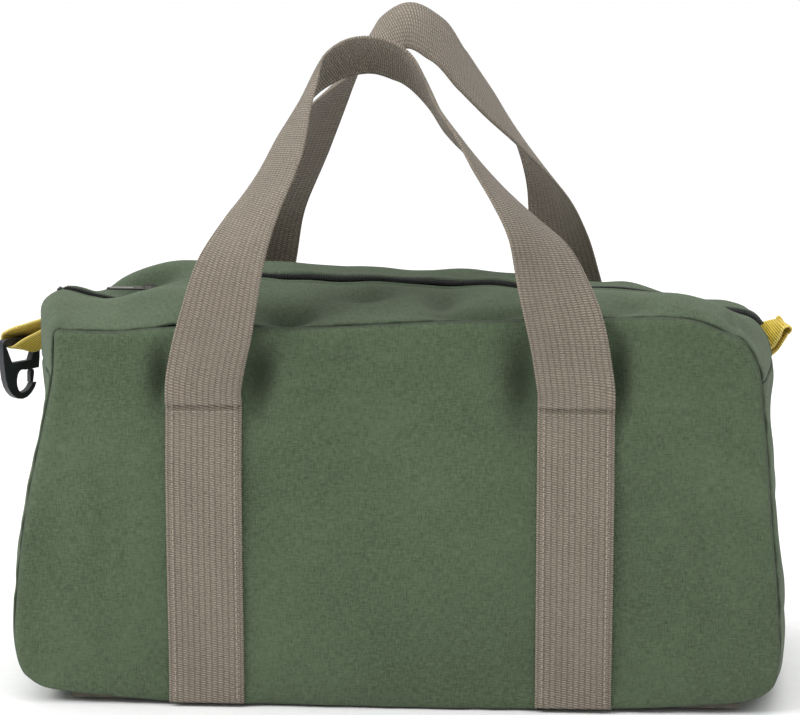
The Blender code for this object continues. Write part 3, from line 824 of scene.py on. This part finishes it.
def gusset(word, material):
    """The end of the bag, from the base up to the zip panels."""
    if word == "right":
        k0, k1 = BELT.at_column("right_end", 0), BELT.at_column("base", 0)
        direction, node = (1, 0, 0), "side_panel_right"
    else:
        k0, k1 = BELT.at_column("base", -1), BELT.at_column("left_end", -1)
        direction, node = (-1, 0, 0), "side_panel_left"
    ks = np.linspace(k0, k1, 96)
    grid, away = belt_grid(ks, fractions(-1.0, 1.0, 76))
    ends = np.minimum(ks - k0, k1 - ks)[:, None] + np.zeros_like(away)
    grid = tuck(grid, ends)
    # the last argument paints shade along the seams and sewn ends
    obj = shell("canvas_end_" + word, grid, outward_of(grid, direction), CANVAS, material,
                strip_uvs(grid, (2.0 if word == "right" else 3.0, 0.0)),
                np.exp(-np.minimum(away, ends) / SEAM_SHADE))
    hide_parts(node)
    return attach(obj, "bag")


def tuck(grid, from_end, deep=0.0007, width=0.003):
    """Turns the cut ends of a strip in, where it is sewn to the next one."""
    down = deep * (1.0 - rounded(from_end / width))
    return grid - normals_out(grid) * down[:, :, None]


def base_canvas(material):
    k0, k1 = BELT.at_column("base", 0), BELT.at_column("base", -1)
    ks = np.linspace(k0, k1, 150)
    grid, away = belt_grid(ks, fractions(-1.0, 1.0, 70))
    grid[:, :, 2] = np.maximum(grid[:, :, 2], 0.0001)
    # the last argument paints shade along the seams
    obj = shell("canvas_base", grid, outward_of(grid, (0, 0, -1)), CANVAS, material,
                strip_uvs(grid, (4.0, 0.0)), np.exp(-away / SEAM_SHADE))
    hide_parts("bottom_panel")
    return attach(obj, "bag")


def top_columns():
    """k along the top, from the joint with the left end to the joint with the right end."""
    k0, k1 = BELT.at_column("left_end", -1) - BELT.total, BELT.at_column("right_end", 0)
    return np.linspace(k0, k1, 230)


def flap_share(points):
    """How far each point goes with its opening half: not at all at the long seam and the sewn ends."""
    along = ease((SEWN_END - np.abs(points[..., 0])) / (SEWN_END - FLAP_HALF_LENGTH))
    across = ease((TOP_SEAM_Y - np.abs(points[..., 1])) / BEND_WIDTH)
    return along * across


def opens_with(obj, side):
    """Makes a piece of the top bend between the bag and its opening half."""
    word = WORDS[side]
    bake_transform(obj, "bag", word + "_flap", start=(0.0, side * TOP_SEAM_Y, TOP_SEAM_Z),
             end=(0.0, side * (TOP_SEAM_Y - BEND_WIDTH), TOP_SEAM_Z))
    points = np.array([v.co for v in obj.data.vertices])
    shares = obj.data.attributes["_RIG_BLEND"]
    shares.data.foreach_set("value", flap_share(points).astype(np.float32))
    return obj


def edge_fold(grid, fs):
    """Turns the canvas down where it is folded under beside the zip, with a ridge along the fold and a groove
    along the stitches."""
    near = (np.abs(fs) - ZIP_EDGE) * TOP_HALF_DEPTH
    down = 0.0013 * (1.0 - rounded(near / 0.0016))
    ridge = 0.0006 * np.exp(-((near - 0.0022) / 0.0012) ** 2)
    groove = 0.0005 * np.exp(-((near - ZIP_STITCH) / 0.0008) ** 2)
    return grid + normals_out(grid) * (ridge - down - groove)[None, :, None]


def top_half(side, material):
    word = WORDS[side]
    fs = side * fractions(ZIP_EDGE, 1.0, 62, 0.75)
    grid, away = belt_grid(top_columns(), fs)
    grid = edge_fold(grid, fs)
    ks = top_columns()
    ends = np.minimum(ks - ks[0], ks[-1] - ks)[:, None] + np.zeros_like(away)
    grid = tuck(grid, ends)
    # painted shade along the seams and sewn ends of the top
    edge = np.exp(-np.minimum(away, ends) / SEAM_SHADE)
    # the last argument paints shade in the dents of the top
    obj = shell("canvas_top_" + word, grid, outward_of(grid, (0, 0, 1)), CANVAS, material,
                strip_uvs(grid, (5.0, 0.0 if side < 0 else 1.0)), edge,
                shade_in_dents(grid[:, :, 0], grid[:, :, 1], TOP_DENTS) * (grid[:, :, 2] > TOP_STARTS))
    end = ENDS[side]
    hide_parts("zip_panel_" + word, "zip_panel_end_" + end)
    opens_with(obj, side)
    return obj


# ---------------------------------------------------------------- zip

def zip_line(reach_left=1.0, reach_right=1.0):
    """The middle line of the zip from one end seam over the top to the other, with its across and up
    directions. reach_left and reach_right stop it sooner."""
    ks = np.linspace(BELT.at_column("left_end", -1) - BELT.total, BELT.at_column("right_end", 0), 1000)
    grid, _ = belt_grid(ks, [-0.02, 0.0, 0.02])
    line = grid[:, 1]
    keep = (line[:, 0] > -reach_left) & (line[:, 0] < reach_right)
    across = unit((grid[:, 2] - grid[:, 0])[keep])
    line = line[keep]
    up = unit(np.cross(direction_along(line), across))
    return line, across, up if up[:, 2].mean() > 0.0 else -up


def zip_tape(side, material):
    word = WORDS[side]
    line, across, up = zip_line()
    pick = np.linspace(0, len(line) - 1, 260).astype(int)
    offsets = np.array([0.0005, 0.0030, 0.0060, 0.0090, 0.0118])
    below, thickness = 0.0016, 0.0006
    grid = (line[pick][:, None, :] + across[pick][:, None, :] * (side * offsets)[None, :, None]
            - up[pick][:, None, :] * below)
    plain = np.zeros(grid.shape[:2])
    uvs = np.stack([plain + offsets[None, :], plain + lengths(line[pick])[:, None]], axis=2)
    obj = shell("zip_tape_woven_" + word, grid, outward_of(grid, (0, 0, 1)), thickness, material, uvs, plain)
    end = ENDS[side]
    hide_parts("zip_tape_" + word, "zip_end_" + end)
    opens_with(obj, side)
    return obj


def zip_coil(side, material):
    """One side of the zip: a nylon thread wound in a flat coil along the edge of the tape."""
    word = WORDS[side]
    line, across, up = zip_line(0.1845, 0.183)
    total = lengths(line)[-1]
    pitch, per_turn = 0.00125, 9
    count = int(total / pitch) * per_turn
    at = np.linspace(0.0, total, count)
    centre, over, high = (at_lengths(line, values, at) for values in (line, across, up))
    turn = np.arange(count) * (2 * math.pi / per_turn) + (0.0 if side < 0 else math.pi)
    wide, tall, inner, lift = 0.00165, 0.00085, 0.0014, 0.0002
    path = (centre + over * (side * (inner + wide * np.cos(turn)))[:, None]
            + high * (lift + tall * np.sin(turn))[:, None])
    along = direction_along(path)
    radial = over * (side * np.cos(turn))[:, None] + high * np.sin(turn)[:, None]
    radial = square_to(along, radial)
    thread = tube(path, radial, np.cross(along, radial), 0.00034, 0.00030, 5)
    obj = joined("zip_coil_wound_" + word, [thread], material)
    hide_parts("zip_coil_" + word)
    opens_with(obj, side)
    return obj


def zip_topstitching(side, material):
    """The row of stitches that holds the folded canvas to the zip tape."""
    word = WORDS[side]
    inset = ZIP_EDGE + ZIP_STITCH / TOP_HALF_DEPTH
    first, last = BELT.at_column("left_corner", 1) - BELT.total, BELT.at_column("right_corner", 1)
    ks = np.linspace(first, last, 700)
    fs = side * np.array([inset - 0.01, inset, inset + 0.01])
    grid = edge_fold(belt_grid(ks, fs)[0], fs)
    out = normals_out(grid)[:, 1]
    obj = joined("zip_topstitching_" + word, stitches(grid[:, 1], out, radius=0.0003), material)
    opens_with(obj, side)
    return obj


def zip_stops(material):
    """A moulded stop across both coils at each end of the zip."""
    line, across, up = zip_line(0.1885, 0.187)
    offsets = np.linspace(-0.0028, 0.0028, 7)
    wide = 0.0016 * np.sqrt(np.clip(1.0 - (offsets / 0.0031) ** 2, 0.05, 1.0))
    parts = []
    for index in (2, len(line) - 3):
        path = line[index] + across[index] * offsets[:, None] + up[index] * 0.0003
        along = np.tile(np.cross(across[index], up[index]), (len(path), 1))
        parts.append(tube(path, along, np.tile(up[index], (len(path), 1)), wide, 0.0010, 10))
    obj = joined("zip_stops", parts, material)
    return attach(obj, "bag")


# ---------------------------------------------------------------- webbing

def webbing_section(half, thickness, ribs, per_rib):
    """Places across the webbing and its half thickness at each, with ribs and rounded selvedges."""
    u = np.linspace(-1.0, 1.0, ribs * per_rib + 1)
    across = u * half
    phase = (u * 0.5 + 0.5) * ribs
    crown = np.abs(np.sin(math.pi * phase)) ** 0.6
    past = ((np.abs(across) - (half - 0.0012)) / 0.00125).clip(0, 1)
    edge = np.sqrt(np.clip(1.0 - past ** 2, 0.02, 1.0))
    thick = thickness / 2 * edge - 0.00012 * (1.0 - crown) * (edge > 0.9)
    return across, np.maximum(thick, 0.0002)


def webbing(name, middles, sideways, material, half=WEBBING_HALF, thickness=WEBBING, ribs=WEBBING_RIBS,
            per_rib=6, arch=0.0, start_length=0.0):
    """A strip of webbing along middles; sideways is the direction across it at each point, and arch how far
    its middle bows out there. The object, and the direction out of its surface at each point."""
    along = direction_along(middles)
    sideways = square_to(along, sideways)
    out = np.cross(sideways, along)
    across, thick = webbing_section(half, thickness, ribs, per_rib)
    count = len(across)
    bow = (1.0 - (across / half) ** 2)[None, :] * (np.zeros(len(middles)) + arch)[:, None]
    base = middles[:, None, :] + sideways[:, None, :] * across[None, :, None]
    base = base + out[:, None, :] * bow[:, :, None]
    half_way = out[:, None, :] * thick[None, :, None]
    top, low = base + half_way, base - half_way
    ring = np.concatenate([top, low[:, ::-1]], axis=1)
    rows, size = ring.shape[:2]
    points = ring.reshape(-1, 3)
    i, s = np.meshgrid(np.arange(rows - 1), np.arange(size), indexing="ij")
    a = (i * size + s).ravel()
    b = (i * size + (s + 1) % size).ravel()
    quads = np.stack([a, b, b + size, a + size], axis=1)
    caps = []
    last = (rows - 1) * size
    for j in range(count - 1):
        corners = (j, j + 1, size - 2 - j, size - 1 - j)
        caps.append(corners[::-1])
        caps.append(tuple(corner + last for corner in corners))
    v = lengths(middles) + start_length
    ring_u = np.concatenate([across, across[::-1]])
    uvs = np.stack([np.tile(ring_u, rows), np.repeat(v, size)], axis=1)
    return mesh_object(name, points, np.concatenate([quads, np.array(caps)]), material, uvs), out


def strap(word, end, centre, material, threads):
    """The sewn part of the webbing on one face. Its stitches are added to threads."""
    face = FACES[word]
    top = HANDLE_BASE + 0.003
    z = np.linspace(face_seam_bottom(face, centre), top, 150)
    xs = centre + np.linspace(-1, 1, 9) * WEBBING_HALF
    ys = np.stack([face.y(np.full(len(z), x), z, fine=False) for x in xs], axis=1)
    y = face.side * np.max(ys * face.side, axis=1)   # it bridges the dents under it
    y = np.convolve(np.pad(y, 4, mode="edge"), np.ones(9) / 9, mode="valid")
    lift = WEBBING / 2 + 0.0002
    middles = np.stack([np.full(len(z), centre), y + face.side * lift, z], axis=1)
    sideways = np.tile([-face.side * 1.0, 0.0, 0.0], (len(z), 1))
    obj, out = webbing("webbing_{}_{}".format(word, end), middles, sideways, material)
    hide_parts("strap_{}_{}".format(word, end))
    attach(obj, "bag")
    surface = out * (WEBBING / 2)
    for inset in (-1, 1):
        line = middles + sideways * inset * (WEBBING_HALF - STITCH_INSET) + surface
        threads.extend(stitches(line[2:-3], out[2:-3]))
    row = np.argmin(np.abs(z - (HANDLE_BASE - CROSS_STITCH)))
    across = np.linspace(-WEBBING_HALF + 0.0035, WEBBING_HALF - 0.0035, 30)
    line = middles[row] + sideways[row] * across[:, None] + surface[row]
    threads.extend(stitches(line, np.tile(out[row], (30, 1))))


def face_seam_bottom(face, x):
    """Height at which the webbing comes out of the bottom seam."""
    loop = face.loop
    low = loop[loop[:, 2] < 0.03]
    return float(low[np.argmin(np.abs(low[:, 0] - x)), 2]) + 0.0014


# Middle of the webbing and the direction across it, from the left foot to the right foot
FRONT_HANDLE = [
    ((-0.0985, -0.0831, 0.155), (1, 0, 0)), ((-0.0965, -0.0865, 0.176), (1, 0, 0)),
    ((-0.091, -0.087, 0.198), (0.98, -0.15, 0.1)), ((-0.0845, -0.081, 0.223), (0.92, -0.3, 0.2)),
    ((-0.075, -0.069, 0.247), (0.82, -0.5, 0.3)), ((-0.063, -0.053, 0.271), (0.66, -0.66, 0.36)),
    ((-0.0525, -0.037, 0.3000), (0.38, -0.82, 0.42)), ((-0.0440, -0.026, 0.3152), (0.12, -0.87, 0.48)),
    ((-0.030, -0.022, 0.3232), (0.03, -0.86, 0.51)), ((-0.018, -0.0215, 0.3242), (0.03, -0.86, 0.51)),
    ((-0.005, -0.022, 0.3198), (0.02, -0.85, 0.53)), ((0.0085, -0.025, 0.3062), (-0.03, -0.9, 0.44)),
    ((0.017, -0.033, 0.292), (-0.1, -0.9, 0.42)), ((0.027, -0.043, 0.280), (-0.22, -0.87, 0.43)),
    ((0.040, -0.055, 0.264), (-0.42, -0.8, 0.4)), ((0.054, -0.067, 0.249), (-0.6, -0.7, 0.35)),
    ((0.067, -0.077, 0.232), (-0.8, -0.5, 0.28)), ((0.075, -0.084, 0.211), (-0.9, -0.3, 0.15)),
    ((0.081, -0.087, 0.190), (-0.97, -0.1, 0.05)), ((0.084, -0.0865, 0.173), (-1, 0, 0)),
    ((0.0855, -0.0831, 0.155), (-1, 0, 0)),
]
BACK_HANDLE = [
    ((-0.0985, 0.0831, 0.155), (1, 0, 0)), ((-0.095, 0.0865, 0.180), (1, 0, 0)),
    ((-0.088, 0.083, 0.207), (0.97, 0.2, 0.05)), ((-0.081, 0.076, 0.229), (0.85, 0.45, 0.2)),
    ((-0.071, 0.066, 0.250), (0.76, 0.58, 0.28)), ((-0.0605, 0.055, 0.272), (0.74, 0.6, 0.3)),
    ((-0.0485, 0.043, 0.294), (0.66, 0.66, 0.35)), ((-0.0325, 0.032, 0.316), (0.38, 0.78, 0.5)),
    ((-0.017, 0.0225, 0.3325), (0.08, 0.8, 0.6)), ((-0.002, 0.020, 0.3388), (0, 0.79, 0.61)),
    ((0.012, 0.022, 0.3315), (0, 0.77, 0.64)), ((0.0245, 0.027, 0.3155), (-0.05, 0.78, 0.62)),
    ((0.0368, 0.035, 0.2992), (-0.12, 0.82, 0.56)), ((0.0495, 0.044, 0.2835), (-0.25, 0.84, 0.48)),
    ((0.0624, 0.055, 0.265), (-0.45, 0.8, 0.38)), ((0.0725, 0.066, 0.2445), (-0.68, 0.67, 0.28)),
    ((0.0775, 0.075, 0.224), (-0.85, 0.45, 0.2)), ((0.0812, 0.082, 0.203), (-0.95, 0.25, 0.08)),
    ((0.0855, 0.0858, 0.180), (-1, 0, 0)), ((0.0855, 0.0831, 0.155), (-1, 0, 0)),
]


def split_stations(stations):
    """The points of a list of (point, direction across) pairs, and the directions at unit length."""
    points, sideways = np.array(stations, float).transpose(1, 0, 2)
    return points, unit(sideways)


def handle(word, stations, material):
    """The free webbing of one handle."""
    side = FACES[word].side
    points, sideways = split_stations(stations)
    for index, centre in zip((0, -1), STRAP_CENTRES):
        foot = FACES[word].y(np.array([centre]), np.array([HANDLE_BASE]), fine=False)[0]
        points[index] = (centre, foot + side * (WEBBING * 1.5 + 0.0005), HANDLE_BASE - 0.0008)
    risen = np.array([0.0, side * 0.0003, 0.0065])   # it leaves the strap straight up
    points = np.concatenate([points[:1], points[:1] + risen, points[1:-1], points[-1:] + risen, points[-1:]])
    sideways = np.concatenate([sideways[:1], sideways, sideways[-1:]])
    knots = lengths(points)
    at = np.linspace(0.0, knots[-1], 330)
    middles = evenly(hermite(knots, points, at), len(at))
    sideways = hermite(knots, sideways, at)
    along = np.minimum(at, at[-1] - at)
    # Away from its feet the webbing bows across its width, and its line wavers a little
    arch = -side * 0.0016 * ease((along - 0.05) / 0.06) * (1.0 + 0.5 * np.sin(at * 40.0))
    waver = np.array([[noise.noise(Vector((a * 18, b, 0.3))) for b in (0.1, 4.7, 9.2)] for a in at])
    middles = middles + 0.0012 * waver * ease((along - 0.01) / 0.03)[:, None]
    obj, _ = webbing(word + "_handle_webbing", middles, sideways, material, arch=arch, start_length=0.154)
    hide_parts(word + "_handle")
    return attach(obj, word + "_grip")


# ---------------------------------------------------------------- loops and hook

HOOK_YAW = math.radians(33)
HOOK_BAR = np.array([-0.210, 0.002, 0.172])
LOOP_HALF = 0.009
LOOP_WEBBING = 0.0014


def loop_piece(name, node, stations, material):
    """A short piece of the narrow yellow webbing."""
    points, sideways = split_stations(stations)
    knots = lengths(points)
    at = np.linspace(0.0, knots[-1], 90)
    middles, directions = hermite(knots, points, at), hermite(knots, sideways, at)
    obj, _ = webbing(name, middles, directions, material, LOOP_HALF, LOOP_WEBBING, ribs=8, per_rib=5)
    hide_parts(node)
    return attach(obj, "bag")


def loops(material):
    """The left loop goes round the bar of the hook and back, and the right one is folded and empty."""
    across = (math.sin(HOOK_YAW), math.cos(HOOK_YAW), -0.22)
    out = np.array([-math.cos(HOOK_YAW), math.sin(HOOK_YAW), 0.0])
    up = np.array([0.0, 0.0, 1.0])
    round_bar = 0.0041
    stations = [((-0.1890, 0.0, 0.1822), (0.1, 0.86, -0.5)), ((-0.1990, 0.001, 0.1795), (0.3, 0.88, -0.42))]
    for degrees in (75, 45, 0, -45, -90):
        turn = math.radians(degrees)
        stations.append((HOOK_BAR + (out * math.cos(turn) + up * math.sin(turn)) * round_bar, across))
    stations.append(((-0.2010, 0.0005, 0.1712), (0.35, 0.84, -0.42)))
    stations.append(((-0.1900, 0.0, 0.1768), (0.1, 0.84, -0.55)))
    loop_piece("yellow_webbing_left", "yellow_loop_left", stations, material)
    low, half_way, high = (0.22, -0.66, -0.72), (0.2, -0.86, -0.44), (0.16, -0.98, -0.08)
    stations = [
        ((0.1815, 0.0006, 0.1752), low), ((0.1848, 0.0, 0.1782), low),
        ((0.1892, -0.0002, 0.1820), half_way), ((0.1930, 0.0, 0.1850), high),
        ((0.1945, 0.0005, 0.1850), high), ((0.1950, 0.0012, 0.1837), high),
        ((0.1914, 0.0014, 0.1799), half_way), ((0.1866, 0.0018, 0.1757), low),
        ((0.1832, 0.0022, 0.1728), low),
    ]
    loop_piece("yellow_webbing_right", "yellow_loop_right", stations, material)


# The hook's holes, from its bar: the eye's middle, half width and half height, and the slot's half width and
# lower edge. NEAR is how close a point must be to count as on an edge.
EYE_MIDDLE, EYE_HALF_WIDTH, EYE_HALF_HEIGHT = -0.0218, 0.0078, 0.0062
SLOT_HALF_WIDTH, SLOT_LOW = 0.0111, -0.0118
NEAR = 0.0003


def stouter(point):
    """Moves a point of the snap hook so that its spine is thicker and its slot tapers."""
    offset = np.array(point) - HOOK_BAR
    sideways = Vector((math.sin(HOOK_YAW), math.cos(HOOK_YAW), 0.0))
    u, v = float(offset @ np.array(sideways)), float(offset[2])
    ring = math.hypot(u / EYE_HALF_WIDTH, (v - EYE_MIDDLE) / EYE_HALF_HEIGHT)
    if abs(ring - 1.0) < 0.04 and u < 0.0:
        return Vector(point) - sideways * (u * 0.5)
    if abs(abs(u) - SLOT_HALF_WIDTH) < NEAR and abs(v - SLOT_LOW) < NEAR:
        return Vector(point) - sideways * math.copysign(0.0042, u) + Vector((0, 0, 0.0006))
    return Vector(point)


def softened(name, node, body, width, material, reshape=None):
    """A moulded copy of a CAD piece with rounded edges. reshape moves its points first."""
    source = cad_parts[node]
    mesh = source.data.copy()
    shape = bmesh.new()
    shape.from_mesh(mesh)
    bmesh.ops.remove_doubles(shape, verts=shape.verts, dist=1e-6)
    bmesh.ops.dissolve_limit(shape, angle_limit=math.radians(1.0), verts=shape.verts, edges=shape.edges)
    if reshape is not None:
        for vertex in shape.verts:
            vertex.co = reshape(vertex.co)
    shape.to_mesh(mesh)
    shape.free()
    mesh.materials.clear()
    mesh.materials.append(material)
    obj = bpy.data.objects.new(name, mesh)
    bpy.context.collection.objects.link(obj)
    bevel = obj.modifiers.new("rounded", "BEVEL")
    bevel.width = width
    bevel.segments = 3
    bevel.limit_method = "ANGLE"
    bevel.angle_limit = math.radians(30.0)
    bevel.harden_normals = False
    mesh.shade_smooth()
    mesh.set_sharp_from_angle(angle=math.radians(40))
    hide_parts(node)
    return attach(obj, body)


# ---------------------------------------------------------------- stage

def studio():
    """Pale floor, three soft lamps, and a sky that is white low down, grey above it and bright overhead."""
    scene = bpy.context.scene
    scene.view_settings.view_transform = "Standard"
    world = bpy.data.worlds.new("studio")
    world.use_nodes = True
    tree = world.node_tree
    direction = tree.nodes.new("ShaderNodeTexCoord").outputs["Generated"]
    height = tree.nodes.new("ShaderNodeSeparateXYZ")
    ramp = tree.nodes.new("ShaderNodeValToRGB")
    tree.links.new(direction, height.inputs[0])
    tree.links.new(height.outputs[2], ramp.inputs[0])
    tree.links.new(ramp.outputs[0], tree.nodes["Background"].inputs["Color"])
    # Grey levels by the sine of the height in the sky
    stops = ramp.color_ramp.elements
    stops[0].position, stops[0].color = 0.03, (1.0, 1.0, 1.0, 1.0)
    stops[1].position, stops[1].color = 1.0, (1.75, 1.75, 1.75, 1.0)
    for place, level in ((0.12, 0.44), (0.55, 0.48), (0.76, 1.4)):
        stops.new(place).color = (level, level, level, 1.0)
    tree.nodes["Background"].inputs["Strength"].default_value = 1.0
    scene.world = world
    lights = [
        ("key", (-1.7, -1.05, 1.6), 0.8, 25.0), ("overhead", (0.1, 0.25, 2.2), 1.6, 6.0),
        ("rim", (0.5, 1.8, 1.4), 1.2, 4.0),
    ]
    target = Vector((0.0, 0.0, 0.12))
    for name, place, size, power in lights:
        data = bpy.data.lights.new(name, "AREA")
        data.size = size
        data.energy = power
        lamp = bpy.data.objects.new(name, data)
        lamp.location = place
        lamp.rotation_euler = (target - Vector(place)).to_track_quat("-Z", "Y").to_euler()
        bpy.context.collection.objects.link(lamp)
    reach = 60.0
    corners = [(x * reach, y * reach, 0.0) for x, y in ((-1, -1), (1, -1), (1, 1), (-1, 1))]
    floor = mesh_object("floor", corners, [(0, 1, 2, 3)], floor_material(), smooth=False)
    floor.location.z = -0.0002


def camera():
    """Looks down nine degrees at the bag, from about three degrees to the right of its front."""
    azimuth, elevation, distance = math.radians(3.4), math.radians(9.0), 1.15
    target = Vector((-0.001, -0.088, 0.179))
    towards = Vector((math.sin(azimuth) * math.cos(elevation), -math.cos(azimuth) * math.cos(elevation),
                      math.sin(elevation)))
    data = bpy.data.cameras.new("camera")
    data.lens = 105.6
    data.sensor_width = 36.0
    obj = bpy.data.objects.new("camera", data)
    obj.location = target + towards * distance
    obj.rotation_euler = (-towards).to_track_quat("-Z", "Y").to_euler()
    bpy.context.collection.objects.link(obj)
    bpy.context.scene.camera = obj


# ---------------------------------------------------------------- the bag

def build_bag():
    canvas = canvas_material()
    beige = webbing_material("webbing", linear(166, 155, 140), linear(112, 102, 90), linear(74, 66, 56))
    yellow = loop_material()
    thread = thread_material("beige_thread", linear(140, 130, 116), linear(176, 166, 150))
    green_thread = thread_material("green_thread", linear(62, 76, 58), linear(96, 110, 88))
    tape, nylon, metal, plastic = tape_material(), nylon_material(), metal_material(), plastic_material()
    for word in ("front", "back"):
        face_panel(word, canvas)
    for word in ("left", "right"):
        gusset(word, canvas)
    base_canvas(canvas)
    for side in (-1, 1):
        top_half(side, canvas)
        zip_tape(side, tape)
        zip_coil(side, nylon)
        zip_topstitching(side, green_thread)
    zip_stops(nylon)
    threads = []
    for word in ("front", "back"):
        for centre, end in zip(STRAP_CENTRES, ("left", "right")):
            strap(word, end, centre, beige, threads)
    sewn = joined("strap_stitching", threads, thread)
    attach(sewn, "bag")
    handle("front", FRONT_HANDLE, beige)
    handle("back", BACK_HANDLE, beige)
    loops(yellow)
    softened("hook_moulding", "snap_hook_body", "hook", 0.0007, plastic, reshape=stouter)
    softened("gate_moulding", "snap_hook_gate", "gate", 0.0003, plastic)
    softened("slider_casting", "zip_slider", "slider", 0.0003, metal)
    softened("pull_casting", "pull_tab", "pull", 0.0002, metal)
    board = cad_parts["base_board"]
    board.data.materials.clear()
    board.data.materials.append(board_material())


camera()
studio()
build_bag()
